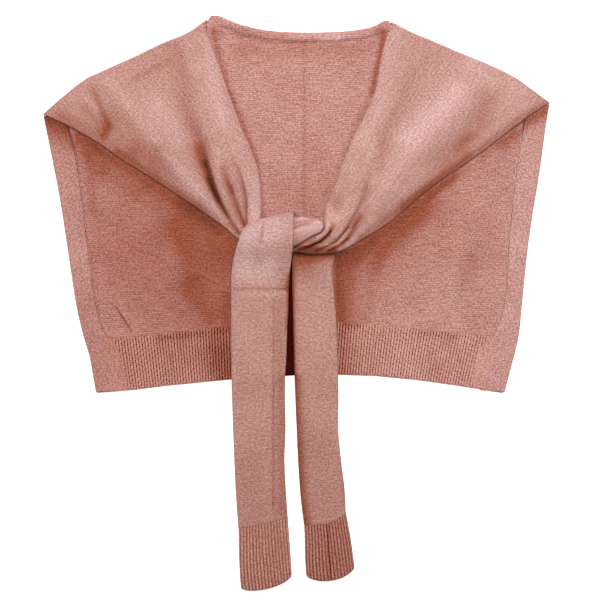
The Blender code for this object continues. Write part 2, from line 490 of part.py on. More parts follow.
def side_band(name, outer, inner, turn):
    """A turned edge band: a strip on the panel whose fold goes round its edge to the surface."""
    shares = np.linspace(BAND_HIGHEST, 1.0, BAND_ROWS)
    outer_points = curve_through(outer, shares)
    across = curve_through(inner, shares) - outer_points
    inward = offset_inward(outer_points, turn) - outer_points
    beside_ribs = smooth_step(-outer_points[:, 1], 40.0, 70.0)
    thin = 1.0 - 0.45 * beside_ribs
    inside_top = PANEL_TOP + SEAM
    # columns: share of the width inward, inset in mm, height
    inside = [(0.0, BAND_WALL, 0.0), (0.0, BAND_WALL, 1.9), (0.0, BAND_WALL + 0.5, inside_top),
              (0.5, 0.0, inside_top), (1.0, 0.0, inside_top)]
    outside = [(0.0, 0.4, 0.0), (0.0, 0.0, 1.0), (0.0, 0.0, 2.4), (0.0, 0.8, BAND_TOP - 0.6),
               (0.0, 2.6, BAND_TOP), (0.5, 0.0, BAND_TOP), (1.0, -2.4, BAND_TOP),
               (1.0, -0.8, BAND_TOP - 0.35)]
    rings = []
    for share, inset, height in inside + outside[::-1]:
        place = outer_points + across * share + inward * inset
        raised = np.full(len(place), height)
        if height > inside_top and share > 0.9:
            raised = inside_top + (height - inside_top) * thin
        rings.append(np.column_stack([place, raised]))
    rings = np.stack(rings, axis=1)
    return tube_solid(name, rings, "band_knit", inside_count=len(inside))


def cap_faces(first, around, inside_count):
    """Triangles that close a ring whose inside and outside run side by side from the same end."""
    inside = list(range(first, first + inside_count))
    outside = list(range(first + around - 1, first + inside_count - 1, -1))
    return stitch(inside, np.linspace(0.0, 1.0, len(inside)), outside, np.linspace(0.0, 1.0, len(outside)),
                  False)


def tube_solid(name, rings, knit, hollow=None, inside_count=None):
    """A closed solid through rings of points, capped, or opened at its last ring into a hollow."""
    rows, around = rings.shape[:2]
    inside_count = inside_count or len(TIE_SECTION)
    faces = ring_faces(rows, around, 0)
    points = rings.reshape(-1, 3)
    faces += [face[::-1] for face in cap_faces(0, around, inside_count)]
    last = (rows - 1) * around
    if hollow is None:
        faces += cap_faces(last, around, inside_count)
    else:
        inner_rows, inner_around = hollow.shape[:2]
        base = len(points)
        points = np.vstack([points, hollow.reshape(-1, 3)])
        faces += [face[::-1] for face in ring_faces(inner_rows, inner_around, base)]
        faces += cap_faces(base, inner_around, len(HOLLOW_ACROSS))
        inner_last = base + (inner_rows - 1) * inner_around
        faces += stitch([last + k for k in range(around)], ring_shares(rings[-1]),
                        [inner_last + k for k in range(inner_around)], ring_shares(hollow[-1]), True)
    return new_mesh_object(name, points, turn_outward(points, faces), knit)


def ring_faces(rows, around, base):
    """Triangles between neighbouring rings."""
    faces = []
    for row in range(rows - 1):
        for k in range(around):
            a = base + row * around + k
            b = base + row * around + (k + 1) % around
            faces += split_quad(a, b, b + around, a + around)
    return faces


def ring_shares(ring):
    """Shares of the way round a ring at its points, by length."""
    steps = np.linalg.norm(np.diff(ring, axis=0), axis=1)
    closing = np.linalg.norm(ring[0] - ring[-1])
    return np.concatenate([[0.0], np.cumsum(steps)]) / (steps.sum() + closing)


def tie_ring(row, section_across, heights):
    """Points of one row of a tie at places across it, at heights as shares of its thickness."""
    left_x, left_y, left_z, right_x, right_y, right_z, crown, bow, lean, thickness = row
    across = np.asarray(section_across, float)
    left = np.array([left_x, left_y, left_z])
    right = np.array([right_x, right_y, right_z])
    points = left + (right - left) * across[:, None]
    arch = 4.0 * across * (1.0 - across)
    points[:, 2] += crown * arch
    arch = np.maximum(arch, 0.0) ** BOW_FLATNESS
    run = right - left
    down = np.array([run[1], -run[0], 0.0]) / np.hypot(run[0], run[1])
    points -= down * (bow * arch)[:, None]
    slant = np.radians(lean)
    face = np.array([0.0, np.sin(slant), np.cos(slant)])
    return points + face * ((np.asarray(heights) - 0.5) * thickness)[:, None]


def tie_rings(rows):
    """Outer rings of a flattened tie, each from its left edge over the top and back below."""
    section = np.asarray(TIE_SECTION)
    across = np.concatenate([section[:, 0], section[-2:0:-1, 0]])
    heights = np.concatenate([section[:, 1], section[-2:0:-1, 2]])
    return np.stack([tie_ring(row, across, heights) for row in rows])


def hollow_rings(rows):
    """Rings of the flat hollow inside a tie or cuff, one wall in from its outside."""
    section = np.asarray(TIE_SECTION)
    across = np.asarray(HOLLOW_ACROSS)
    rings = []
    for row in rows:
        wall = CUFF_WALL / row[9]
        floor = np.interp(across, section[:, 0], section[:, 2]) + wall
        roof = np.interp(across, section[:, 0], section[:, 1]) - wall
        roof = np.maximum(roof, floor + LEAST_HOLLOW)
        ends = 0.5 * (roof + floor)
        roof = np.concatenate([ends[:1], roof[1:-1], ends[-1:]])
        places = np.concatenate([across, across[-2:0:-1]])
        heights = np.concatenate([roof, floor[-2:0:-1]])
        rings.append(tie_ring(row, places, heights))
    return np.stack(rings)


def tie(name, rows):
    """A flattened knit tube, hollow and open at the end where its cuff is sewn on."""
    return tube_solid(name, tie_rings(rows), "tie_knit", hollow_rings(rows[-TIE_HOLLOW_ROWS:]))


def cuff(name, rows):
    """A ribbed cuff: raised ribs round a plain flattened tube open at both ends."""
    plain = tie_rings(rows)
    inner = hollow_rings(rows)
    points_around = CUFF_RIBS * POINTS_PER_RIB
    shares = np.arange(points_around) / points_around
    in_groove = np.arange(points_around) % POINTS_PER_RIB == 0
    raised = np.where(in_groove, -CUFF_RIB_HEIGHT, CUFF_RIB_HEIGHT)
    ribbed = []
    for ring in plain[1:3]:
        closed = np.vstack([ring, ring[:1]])
        ring_ends = np.append(ring_shares(ring), 1.0)
        fine = np.stack([np.interp(shares, ring_ends, closed[:, k]) for k in range(3)], axis=-1)
        away = np.roll(fine, -2, axis=0) - np.roll(fine, 2, axis=0)
        along = np.hypot(away[:, 0], away[:, 1]) * np.sign(away[:, 0])
        out = np.stack([-away[:, 2], np.zeros(len(fine)), along], axis=-1)
        out /= np.linalg.norm(out, axis=1)[:, None]
        moved = fine + out * raised[:, None]
        moved[:, 2] = np.maximum(moved[:, 2], 0.0)
        ribbed.append(moved)
    chains = [plain[0], ribbed[0], ribbed[1], plain[3], inner[3], inner[0]]
    starts = np.concatenate([[0], np.cumsum([len(chain) for chain in chains])])
    faces = []
    for k in range(len(chains)):
        following = (k + 1) % len(chains)
        first = list(range(starts[k], starts[k + 1]))
        second = list(range(starts[following], starts[following + 1]))
        first_shares = shares if len(first) == len(shares) else ring_shares(chains[k])
        second_shares = shares if len(second) == len(shares) else ring_shares(chains[following])
        faces += stitch(first, first_shares, second, second_shares, True)
    points = np.vstack(chains)
    return new_mesh_object(name, points, turn_outward(points, faces), "rib_knit")


def fold_cut(across, along, folds):
    """Share of the cloth's rise taken away by the folds at each place of a front."""
    kept = np.ones(np.broadcast(across, along).shape)
    for _, places, depths, widths in folds:
        place = np.interp(along, FOLD_STATIONS, places)
        depth = np.interp(along, FOLD_STATIONS, depths)
        width = np.interp(along, FOLD_STATIONS, widths)
        kept = kept * (1.0 - depth * np.exp(-((across - place) / width) ** 2))
    return 1.0 - kept


def front(name, shoulder, first_inner, first_outer, second_inner, second_outer, folds, turn, rest):
    """A front: shoulder fold, flap and gathers as a thin wall, closing to a heap at the knot."""
    across = np.linspace(0.0, 1.0, FRONT_COLUMNS)
    first_along = np.linspace(0.0, 1.0, FLAP_ROWS + 1)[1:]
    second_along = np.linspace(0.0, 1.0, BUNDLE_ROWS + 1)[1:]
    middle = [first_inner[-1], first_outer[-1]]
    end = [second_inner[-1], second_outer[-1]]
    flap = patch_between(first_inner, first_outer, shoulder, middle, across, first_along)
    bundle = patch_between(second_inner, second_outer, middle, end, across, second_along)
    plan = np.concatenate([flap, bundle])
    along = np.concatenate([first_along * BUNDLE_START, BUNDLE_START + second_along * (1 - BUNDLE_START)])
    x, y = plan[..., 0], plan[..., 1]
    u, v = np.meshgrid(across, along)
    envelope = np.interp(v, *np.transpose(FRONT_RISE)) * (4.0 * u * (1.0 - u)) ** 0.5
    cut = fold_cut(u, v, folds)
    at_edge = 1.0 - smooth_step(np.minimum(u, 1.0 - u), 0.0, EDGE_WIDTH)
    edges = 1.0 - EDGE_DROP * at_edge * smooth_step(v, *EDGES_DROP)
    heap = mound_height(x, y) * edges * (1.0 - HEAP_CREASE * cut)
    closed = smooth_step(v, *WALL_FILLS)
    away_from_knot = 1.0 - smooth_step(v, *RISE_ENDS)
    lies = rest(x, y)
    top = lies + CLOTH + heap + envelope * (1.0 - cut) * away_from_knot
    slope = np.hypot(*[np.gradient(top, axis=k) / np.maximum(grid_step(x, y, k), 0.5) for k in (0, 1)])
    wall = CLOTH * np.minimum(np.sqrt(1.0 + slope**2), STEEPEST_WALL)
    bottom = np.maximum(top - wall, lies)
    bottom = bottom + (lies - bottom) * closed
    top_grid = np.dstack([x, y, top])
    bottom_grid = np.dstack([x, y, bottom])
    fold_line = curve_through(shoulder, across)
    curl_top, curl_bottom = [], []
    behind = offset_inward(fold_line, turn * SHOULDER_CURL[-1][2])
    behind_height = rest(behind[:, 0], behind[:, 1])
    for out_inset, out_height, in_inset, in_height in SHOULDER_CURL:
        curl_top.append(np.column_stack([offset_inward(fold_line, turn * out_inset),
                                         out_height * behind_height]))
        curl_bottom.append(np.column_stack([offset_inward(fold_line, turn * in_inset),
                                            in_height * behind_height]))
    top_grid = np.concatenate([np.stack(curl_top), top_grid])
    bottom_grid = np.concatenate([np.stack(curl_bottom), bottom_grid])
    return wall_solid(name, top_grid, bottom_grid, "front_knit")


def grid_step(x, y, axis):
    """Distance between neighbouring grid points along one axis of the grid."""
    return np.hypot(np.gradient(x, axis=axis), np.gradient(y, axis=axis))


def rest_over_tail(x, y):
    """Height at which the right front lies, over the right tie where it crosses it."""
    return np.maximum(rest_height(x, y), tie_right_cover(x, y))


def main():
    """Builds the wrap's ten knitted pieces."""
    for existing in list(bpy.data.objects):
        bpy.data.objects.remove(existing, do_unlink=True)
    back_panel()
    hem_rib()
    side_band("side_band_left", SIDE_LEFT, BAND_INNER_LEFT, 1.0)
    side_band("side_band_right", SIDE_RIGHT, BAND_INNER_RIGHT, -1.0)
    front("front_left", SHOULDER_LEFT, FRONT_LEFT_INNER, FRONT_LEFT_OUTER, LOBE_INNER, LOBE_OUTER,
          FRONT_LEFT_FOLDS, 1.0, rest_height)
    front("front_right", SHOULDER_RIGHT, FRONT_RIGHT_INNER, FRONT_RIGHT_OUTER, CROSS_INNER, CROSS_OUTER,
          FRONT_RIGHT_FOLDS, -1.0, rest_over_tail)
    tie("tie_left", TIE_LEFT_ROWS)
    tie("tie_right", TIE_RIGHT_ROWS)
    cuff("cuff_left", CUFF_LEFT_ROWS)
    cuff("cuff_right", CUFF_RIGHT_ROWS)


main()
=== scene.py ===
"""Looks of a knitted shoulder wrap laid out flat, its fronts folded over and tied in a half knot.

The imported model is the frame. Every piece here is a thin shell of knitted cloth on the form of one
of its nodes, with the folds, ribs, edges and stitches of the real cloth. Tables are in millimetres in
the frame's axes: +X to the viewer's right, +Y towards the neck, +Z up from the surface it lies on.
Meshes are in metres. Left and right are the viewer's.
"""

import logging
from collections.abc import Sequence
from dataclasses import dataclass
from enum import Enum

import bpy
import numpy as np
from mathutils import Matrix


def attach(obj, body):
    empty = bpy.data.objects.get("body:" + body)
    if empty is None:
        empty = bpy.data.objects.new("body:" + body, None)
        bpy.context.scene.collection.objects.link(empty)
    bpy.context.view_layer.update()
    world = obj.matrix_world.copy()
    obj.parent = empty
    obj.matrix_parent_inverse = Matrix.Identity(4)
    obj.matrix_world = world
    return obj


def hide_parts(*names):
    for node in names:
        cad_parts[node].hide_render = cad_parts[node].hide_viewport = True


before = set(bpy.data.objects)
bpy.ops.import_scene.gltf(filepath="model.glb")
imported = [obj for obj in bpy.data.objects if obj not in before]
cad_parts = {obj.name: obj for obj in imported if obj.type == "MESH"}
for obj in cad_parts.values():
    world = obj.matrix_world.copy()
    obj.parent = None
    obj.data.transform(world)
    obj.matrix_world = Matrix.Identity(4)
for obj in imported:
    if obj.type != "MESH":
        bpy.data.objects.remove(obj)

Array = np.ndarray
Table = Sequence[Sequence[float]]
Socket = bpy.types.NodeSocket

MM = 0.001

CLOTH = 2.0          # one thickness of the knit
SEAM = 0.3           # clearance between two pieces
BAND_TOP = 4.1       # height of the turned side bands
BAND_WALL = 1.8
KNIT_MAP = "knit"    # name of the map that runs along each piece's wales and courses
PAINTED_LIGHT = "tone"        # name of the point attribute of painted shade, or painted light below 0

# Painted shade, deeper painted shade and painted highlight that the point attribute lays over the yarn.
PAINTED_SHADE = (0.60, 0.33, 0.22)
PAINTED_DEEP_SHADE = (0.14, 0.03, 0.02)
PAINTED_HIGHLIGHT = (1.30, 1.52, 1.68)

# How much further than the mean yarn the dark fibres go in red, green and blue, and the light ones.
DARK_POWERS = (0.8, 1.15, 1.3)
LIGHT_GAINS = (0.75, 1.2, 1.35)

# The yarn's flecks and broad patches, in waves to a metre of the knit map, the strength of its
# streaks and patches, and the stitch height at which the stitches' painted shade and light are nil.
FLECK_SCALE = 430.0
PATCH_SCALE = 22.0
STREAK_SHARE = 0.9
PATCH_SHARE = 0.45
MEAN_RELIEF = 0.6

log = logging.getLogger("wrap")


def smooth_step(value: Array | float, start: float, end: float) -> Array:
    """0 below start, 1 above end and an even S between them."""
    share = np.clip((np.asarray(value, float) - start) / (end - start), 0.0, 1.0)
    return share * share * (3.0 - 2.0 * share)


def cubic(share: Array, first: Array, first_slope: Array, second: Array, second_slope: Array) -> Array:
    """The cubic between two values that has a given slope at each, at a share of the way."""
    return ((2 * share**3 - 3 * share**2 + 1) * first + (share**3 - 2 * share**2 + share) * first_slope
            + (3 * share**2 - 2 * share**3) * second + (share**3 - share**2) * second_slope)


def read_through(stations: Sequence[float], values: Table, at: Array) -> Array:
    """Reads values off a smooth curve through a table.

    Between two stations the value is a cubic that has, at each of them, the mean slope there.

    Args:
        stations: Rising places of the table's rows.
        values: One number or one row of numbers for each station.
        at: Places to read at.

    Returns:
        The values, with the shape of the places and then of a row.
    """
    places = np.asarray(stations, float)
    rows = np.asarray(values, float)
    slopes = np.gradient(rows, places, axis=0)
    low = np.clip(np.searchsorted(places, at, side="right") - 1, 0, len(places) - 2)
    step = places[low + 1] - places[low]
    share = np.clip((at - places[low]) / step, 0.0, 1.0)
    if rows.ndim > 1:
        step, share = step[..., None], share[..., None]
    return cubic(share, rows[low], step * slopes[low], rows[low + 1], step * slopes[low + 1])


def curve_through(table: Table, shares: Array) -> Array:
    """Points at shares of the length of a smooth curve through the table's points.

    The curve is a chain of cubics whose slope at a point is half the step between its neighbours.

    Args:
        table: The points, a row each.
        shares: Shares of the length, of any shape.

    Returns:
        Points, with the shape of the shares and then of a row.
    """
    points = np.asarray(table, float)
    before = np.vstack([2.0 * points[0] - points[1], points[:-1]])
    after = np.vstack([points[1:], 2.0 * points[-1] - points[-2]])
    slopes = 0.5 * (after - before)
    steps = np.linspace(0.0, 1.0, 13)[:-1, None, None]
    fine = cubic(steps, points[:-1], slopes[:-1], points[1:], slopes[1:])
    fine = np.vstack([fine.transpose(1, 0, 2).reshape(-1, points.shape[1]), points[-1:]])
    lengths = np.concatenate([[0.0], np.cumsum(np.linalg.norm(np.diff(fine, axis=0), axis=1))])
    lengths /= lengths[-1]
    return np.stack([np.interp(shares, lengths, fine[:, k]) for k in range(points.shape[1])], axis=-1)


def x_at(table: Table, y: Array | float) -> Array:
    """Place across of a side edge at a height y, its table running from the top down."""
    rows = np.asarray(table, float)[::-1]
    return np.interp(y, rows[:, 1], rows[:, 0])


def y_at(table: Table, x: Array | float) -> Array:
    """Height of a seam or hem at a place x, its table running from left to right."""
    rows = np.asarray(table, float)
    return np.interp(x, rows[:, 0], rows[:, 1])


def offset_inward(points: Array, inset: Array | float) -> Array:
    """A chain of points moved sideways, to its left for a positive inset."""
    run = np.gradient(points, axis=0)
    run /= np.linalg.norm(run, axis=1)[:, None]
    return points + np.asarray(inset) * np.stack([-run[:, 1], run[:, 0]], axis=-1)


def distance_to_line(x: Array, y: Array, line: Table) -> Array:
    """Distance of points to the nearest stretch of a polyline."""
    points = np.stack([x, y], axis=-1)
    nearest = np.full(points.shape[:-1], np.inf)
    for start, end in zip(np.asarray(line[:-1], float), np.asarray(line[1:], float)):
        run = end - start
        share = np.clip(((points - start) @ run) / (run @ run), 0.0, 1.0)
        nearest = np.minimum(nearest, np.linalg.norm(points - start - share[..., None] * run, axis=-1))
    return nearest


def patch_between(left: Table, right: Table, start: Table, end: Table, across: Array, along: Array) -> Array:
    """A sheet spanned between four edge curves.

    The place is the blend of the side edges plus the blend of the end edges, less the blend of the
    four corners.

    Args:
        left: Edge at across 0, from start to end.
        right: Edge at across 1.
        start: Edge at along 0, from left to right.
        end: Edge at along 1.
        across: Shares across, of shape (rows, columns).
        along: Shares along, one for each row.

    Returns:
        Points of shape (rows, columns, 2).
    """
    u = across[..., None]
    v = along[:, None, None]
    edge_left = curve_through(left, along)[:, None, :]
    edge_right = curve_through(right, along)[:, None, :]
    edge_start = curve_through(start, across)
    edge_end = curve_through(end, across)
    corners = ((1 - u) * (1 - v) * np.asarray(start[0]) + u * (1 - v) * np.asarray(start[-1])
               + (1 - u) * v * np.asarray(end[0]) + u * v * np.asarray(end[-1]))
    return (1 - u) * edge_left + u * edge_right + (1 - v) * edge_start + v * edge_end - corners


def rim_spaced(count: int, width: Array, rim: float) -> Array:
    """Shares across a strip, close together at both rims and even between them.

    Args:
        count: Number of even steps between the rims.
        width: Width of the strip at each row, in the rim's unit.
        rim: Depth of a rounded rim.

    Returns:
        Shares of shape (rows, columns).
    """
    in_rim = np.array([0.0, 0.08, 0.3, 0.62]) * rim / np.asarray(width, float)[:, None]
    depth = rim / np.asarray(width, float)[:, None]
    middle = depth + (1.0 - 2.0 * depth) * np.linspace(0.0, 1.0, count + 1)
    return np.concatenate([in_rim, middle, 1.0 - in_rim[:, ::-1]], axis=1)


def rounded(distance: Array, rim: float) -> Array:
    """Share of a wall's height at a distance from its edge: a quarter circle over the rim's depth."""
    return np.sqrt(1.0 - (1.0 - np.clip(distance / rim, 0.0, 1.0)) ** 2)


def lengths_along(points: Array, axis: int) -> Array:
    """Length along a grid of points up to each of them, along one of its axes."""
    steps = np.linalg.norm(np.diff(points, axis=axis), axis=-1)
    start = np.zeros_like(np.take(steps, [0], axis=axis))
    return np.concatenate([start, np.cumsum(steps, axis=axis)], axis=axis)


def unevenness(x: Array, y: Array, size: float) -> Array:
    """Gentle unevenness of hand-laid cloth: a sum of sines in six directions, from -1 to 1 or so."""
    total = np.zeros(np.broadcast(x, y).shape)
    for k in range(6):
        turn = 0.6 + 1.07 * k
        wave = size * (0.7 + 0.17 * k)
        total += np.sin(2 * np.pi * (x * np.cos(turn) + y * np.sin(turn)) / wave + 2.3 * k)
    return total / 3.0


def in_dashes(along: Array, rib: Array, length: float, depth: float, drift: float = 0.0) -> Array:
    """Waves along the grooves between ribs, each groove's out of step with its neighbour's.

    Args:
        along: Place along the ribs.
        rib: Place across them, in ribs.
        length: Length of a wave.
        depth: Half the difference between the highest, which is 1, and the lowest.
        drift: How fast the step between neighbours changes across the ribs.

    Returns:
        The cosine waves.
    """
    groove = np.floor(rib + 0.5)
    phase = along / length + 0.31 * groove + drift * groove**2
    return 1.0 - depth + depth * np.cos(2.0 * np.pi * phase)


def on_line(x: Array, y: Array, line: Table) -> tuple[Array, Array, Array]:
    """Where points stand beside a polyline.

    Args:
        x: Places across.
        y: Places up.
        line: Rows that begin with x and y and go on with values along the line.

    Returns:
        The distance to the line, whether the point is on its left, and the values there.
    """
    rows = np.asarray(line, float)
    points = np.stack([x, y], axis=-1)
    nearest = np.full(points.shape[:-1], np.inf)
    on_left = np.zeros(nearest.shape, bool)
    values = np.zeros((*nearest.shape, rows.shape[1] - 2))
    for start, end in zip(rows[:-1], rows[1:]):
        run = end[:2] - start[:2]
        away = points - start[:2]
        share = np.clip((away @ run) / (run @ run), 0.0, 1.0)
        distance = np.linalg.norm(away - share[..., None] * run, axis=-1)
        closer = distance < nearest
        nearest = np.where(closer, distance, nearest)
        on_left = np.where(closer, run[0] * away[..., 1] - run[1] * away[..., 0] > 0.0, on_left)
        read = start[2:] + share[..., None] * (end[2:] - start[2:])
        values = np.where(closer[..., None], read, values)
    return nearest, on_left, values


@dataclass(frozen=True)
class Crease:
    """A trough drawn on a piece, or a ridge where its depth is negative.

    Attributes:
        line: Columns: x, y, half width on its left, half width on its right, depth.
        sharp: 2 for a soft bell across it, 1 for a pressed line.
        tone: How much shade it paints at its deepest place, or light where it is below 0.
    """

    line: Table
    sharp: float = 2.0
    tone: float = 0.0

    def press(self, x: Array, y: Array) -> tuple[Array, Array]:
        """The depth at points, and the shade painted there.

        The depth falls off across the line as exp(-(distance / half width) ^ sharp).
        """
        distance, on_left, values = on_line(x, y, self.line)
        half = np.where(on_left, values[..., 0], values[..., 1])
        depth = values[..., 2] * np.exp(-(distance / half) ** self.sharp)
        deepest = max(abs(row[4]) for row in self.line)
        return depth, self.tone * np.abs(depth) / deepest


def shade(x: Array, y: Array, lines: Table) -> Array:
    """How much shade is painted at points.

    Each row is a polyline whose strength falls off as a bell. They add up, and past 1 the rest
    counts a third.

    Args:
        x: Places across.
        y: Places up.
        lines: Columns: half width, strength, and then x and y of each corner in turn.

    Returns:
        The sum at each point, below 0 where light is painted instead.
    """
    total = np.zeros(np.broadcast(x, y).shape)
    for half_width, strength, *corners in lines:
        away = distance_to_line(x, y, np.reshape(corners, (-1, 2)))
        total += strength * np.exp(-(away / half_width) ** 2)
    return np.minimum(total, 1.0 + (total - 1.0) / 3.0)


def corner_ids(rows: int, columns: int, closed: bool) -> tuple[Array, Array]:
    """Corners of the cells of a grid.

    Args:
        rows: Rows of the grid.
        columns: Columns of the grid.
        closed: Whether the last column joins the first.

    Returns:
        The points' numbers of each cell, and its numbers in a map that has one column more
        where the grid is closed.
    """
    row, column = np.meshgrid(np.arange(rows - 1), np.arange(columns if closed else columns - 1),
                              indexing="ij")
    row, column = row.ravel(), column.ravel()
    corner_rows = np.stack([row, row, row + 1, row + 1], axis=-1)
    corner_columns = np.stack([column, column + 1, column + 1, column], axis=-1)
    wide = columns + 1 if closed else columns
    return corner_rows * columns + corner_columns % columns, corner_rows * wide + corner_columns


@dataclass
class Wall:
    """A closed wall of cloth between an outer and an inner grid of the same shape.

    Attributes:
        outer: Points of the outer face, in millimetres, (rows, columns, 3).
        inner: Points of the inner face.
        knit: Place of each point along its wale and course, in millimetres. A closed wall's has
            one column more.
        tone: How much shade is painted at each point, or light where it is below 0.
        closed: Whether the wall is a tube, whose last column joins the first.
    """

    outer: Array
    inner: Array
    knit: Array
    tone: Array
    closed: bool = False

    def rim_ids(self) -> tuple[Array, Array]:
        """Corners of the strips that join both faces along the edges, and their map numbers."""
        rows, columns = self.outer.shape[:2]
        wide = self.knit.shape[1]
        below = rows * columns
        first = np.arange(columns if self.closed else columns - 1)
        points, maps = [], []
        for row, turn in ((0, -1), (rows - 1, 1)):
            pair = np.stack([first, first + 1], axis=-1)[:, ::turn]
            top = row * columns + pair % columns
            points.append(np.concatenate([top, below + top[:, ::-1]], axis=1))
            in_map = row * wide + pair
            maps.append(np.concatenate([in_map, in_map[:, ::-1]], axis=1))
        if not self.closed:
            first = np.arange(rows - 1)
            for column, turn in ((0, 1), (columns - 1, -1)):
                pair = np.stack([first, first + 1], axis=-1)[:, ::turn]
                top = pair * columns + column
                points.append(np.concatenate([top, below + top[:, ::-1]], axis=1))
                in_map = pair * wide + column
                maps.append(np.concatenate([in_map, in_map[:, ::-1]], axis=1))
        return np.concatenate(points), np.concatenate(maps)

    def build(self, name: str, material: bpy.types.Material) -> bpy.types.Object:
        """Makes the wall's mesh object.

        Both faces are the grids' cells, the inner one turned over, and strips join them round
        the edges. All faces are turned over together where they enclose a negative volume.

        Args:
            name: The piece's name.
            material: Its finish.

        Returns:
            The new object, at the origin, in metres.
        """
        rows, columns = self.outer.shape[:2]
        points = np.concatenate([self.outer.reshape(-1, 3), self.inner.reshape(-1, 3)]) * MM
        face, face_map = corner_ids(rows, columns, self.closed)
        rim, rim_map = self.rim_ids()
        cells = np.concatenate([face, face[:, ::-1] + rows * columns, rim])
        maps = np.concatenate([face_map, face_map[:, ::-1], rim_map])
        corners = points[cells]
        volume = np.einsum("ij,ij->i", corners[:, 0], np.cross(corners[:, 1], corners[:, 2])
                           + np.cross(corners[:, 2], corners[:, 3])).sum()
        if volume < 0.0:
            cells, maps = cells[:, ::-1], maps[:, ::-1]
        mesh = bpy.data.meshes.new(name)
        mesh.from_pydata(points.tolist(), [], cells.tolist())
        layer = mesh.uv_layers.new(name=KNIT_MAP)
        places = self.knit.reshape(-1, 2)[maps.reshape(-1)] * MM
        layer.data.foreach_set("uv", places.astype(np.float32).ravel())
        # Painted shade and light at each point, for the yarn's colour.
        painted_lights = mesh.attributes.new(PAINTED_LIGHT, "FLOAT", "POINT")
        painted_lights.data.foreach_set("value", np.tile(self.tone.astype(np.float32).ravel(), 2))
        mesh.shade_smooth()
        mesh.update()
        piece = bpy.data.objects.new(name, mesh)
        bpy.context.collection.objects.link(piece)
        mesh.materials.append(material)
        return piece


class NodeWeb:
    """Adds nodes to one node tree and joins their sockets."""

    def __init__(self, tree: bpy.types.NodeTree) -> None:
        """Starts on a tree.

        Args:
            tree: The tree to add to.
        """
        self.tree = tree

    def node(self, kind: str, **settings: object) -> bpy.types.Node:
        """Adds a node of a kind and sets the named properties on it."""
        made = self.tree.nodes.new(kind)
        for name, value in settings.items():
            setattr(made, name, value)
        return made

    def feed(self, socket: Socket, value: Socket | float | Sequence[float]) -> None:
        """Links a socket's value into another, or sets it where the value is plain."""
        if isinstance(value, bpy.types.NodeSocket):
            self.tree.links.new(value, socket)
        else:
            socket.default_value = value

    def math(self, operation: str, *values: Socket | float) -> Socket:
        """The result of one arithmetic step on up to three values."""
        made = self.node("ShaderNodeMath", operation=operation)
        for socket, value in zip(made.inputs, values):
            self.feed(socket, value)
        return made.outputs[0]

    def blend(self, share: Socket | float, first: Socket | Sequence[float],
              second: Socket | Sequence[float]) -> Socket:
        """A colour between two, at a share from the first to the second."""
        made = self.node("ShaderNodeMix", data_type="RGBA")
        self.feed(made.inputs["Factor"], share)
        self.feed(made.inputs["A"], first)
        self.feed(made.inputs["B"], second)
        return made.outputs["Result"]

    def spread(self, value: Socket, low: float, high: float, start: float, end: float) -> Socket:
        """A value's range from low to high carried over to the range from start to end."""
        made = self.node("ShaderNodeMapRange")
        for name, setting in (("Value", value), ("From Min", low), ("From Max", high), ("To Min", start),
                              ("To Max", end)):
            self.feed(made.inputs[name], setting)
        return made.outputs["Result"]


def new_group(name: str, inputs: dict[str, tuple[str, object]],
              outputs: dict[str, str]) -> tuple[bpy.types.NodeTree, bpy.types.Node, bpy.types.Node]:
    """Makes an empty shader node group.

    Args:
        name: Its name.
        inputs: Name of each input with its kind and default value.
        outputs: Name of each output with its kind.

    Returns:
        The group, its input node and its output node.
    """
    group = bpy.data.node_groups.new(name, "ShaderNodeTree")
    for label, (kind, default) in inputs.items():
        socket = group.interface.new_socket(name=label, in_out="INPUT", socket_type=kind)
        if default is not None:
            socket.default_value = default
    for label, kind in outputs.items():
        group.interface.new_socket(name=label, in_out="OUTPUT", socket_type=kind)
    return group, group.nodes.new("NodeGroupInput"), group.nodes.new("NodeGroupOutput")


def stitch_group() -> bpy.types.NodeTree:
    """The relief of knit stitches over a map along wales and courses.

    On the right side a wale holds two legs, each a quarter of the wale from its middle, and a
    leg rises and falls once in each course, slanting up towards the wale's edge. On the wrong
    side each course is a row of round bumps, half a wale off from the row below.

    Returns:
        The group, which puts out the relief's height from 0 to 1.
    """
    group, given, out = new_group(
        "knit_stitches",
        {"Map": ("NodeSocketVector", None), "Wale": ("NodeSocketFloat", 0.0017),
         "Course": ("NodeSocketFloat", 0.0013), "Slant": ("NodeSocketFloat", 1.5),
         "Wrong side": ("NodeSocketFloat", 0.0)},
        {"Height": "NodeSocketFloat"})
    web = NodeWeb(group)
    parts = web.node("ShaderNodeSeparateXYZ")
    web.feed(parts.inputs[0], given.outputs["Map"])
    wales = web.math("DIVIDE", parts.outputs["X"], given.outputs["Wale"])
    courses = web.math("DIVIDE", parts.outputs["Y"], given.outputs["Course"])
    side = web.math("ABSOLUTE", web.math("SUBTRACT", web.math("FRACT", wales), 0.5))
    slanted = web.math("ADD", courses, web.math("MULTIPLY", side, given.outputs["Slant"]))
    leg = web.math("ABSOLUTE", web.math("SINE", web.math("MULTIPLY", slanted, np.pi)))
    from_leg = web.math("DIVIDE", web.math("ABSOLUTE", web.math("SUBTRACT", side, 0.25)), 0.25)
    ridge = web.math("SUBTRACT", 1.0, web.math("MULTIPLY", web.math("POWER", from_leg, 2.0), 0.85))
    right_side = web.math("MULTIPLY", web.math("POWER", leg, 0.6), ridge)
    row_turn = web.math("MULTIPLY", web.math("FLOOR", courses), 0.5)
    bump = web.math("COSINE", web.math("MULTIPLY", web.math("ADD", wales, row_turn), 2.0 * np.pi))
    bump = web.math("ADD", web.math("MULTIPLY", bump, 0.3), 0.7)
    row = web.math("ABSOLUTE", web.math("SINE", web.math("MULTIPLY", courses, np.pi)))
    wrong_side = web.math("MULTIPLY", row, bump)
    share = given.outputs["Wrong side"]
    height = web.math("ADD", web.math("MULTIPLY", wrong_side, share),
                      web.math("MULTIPLY", right_side, web.math("SUBTRACT", 1.0, share)))
    web.feed(out.inputs["Height"], height)
    return group


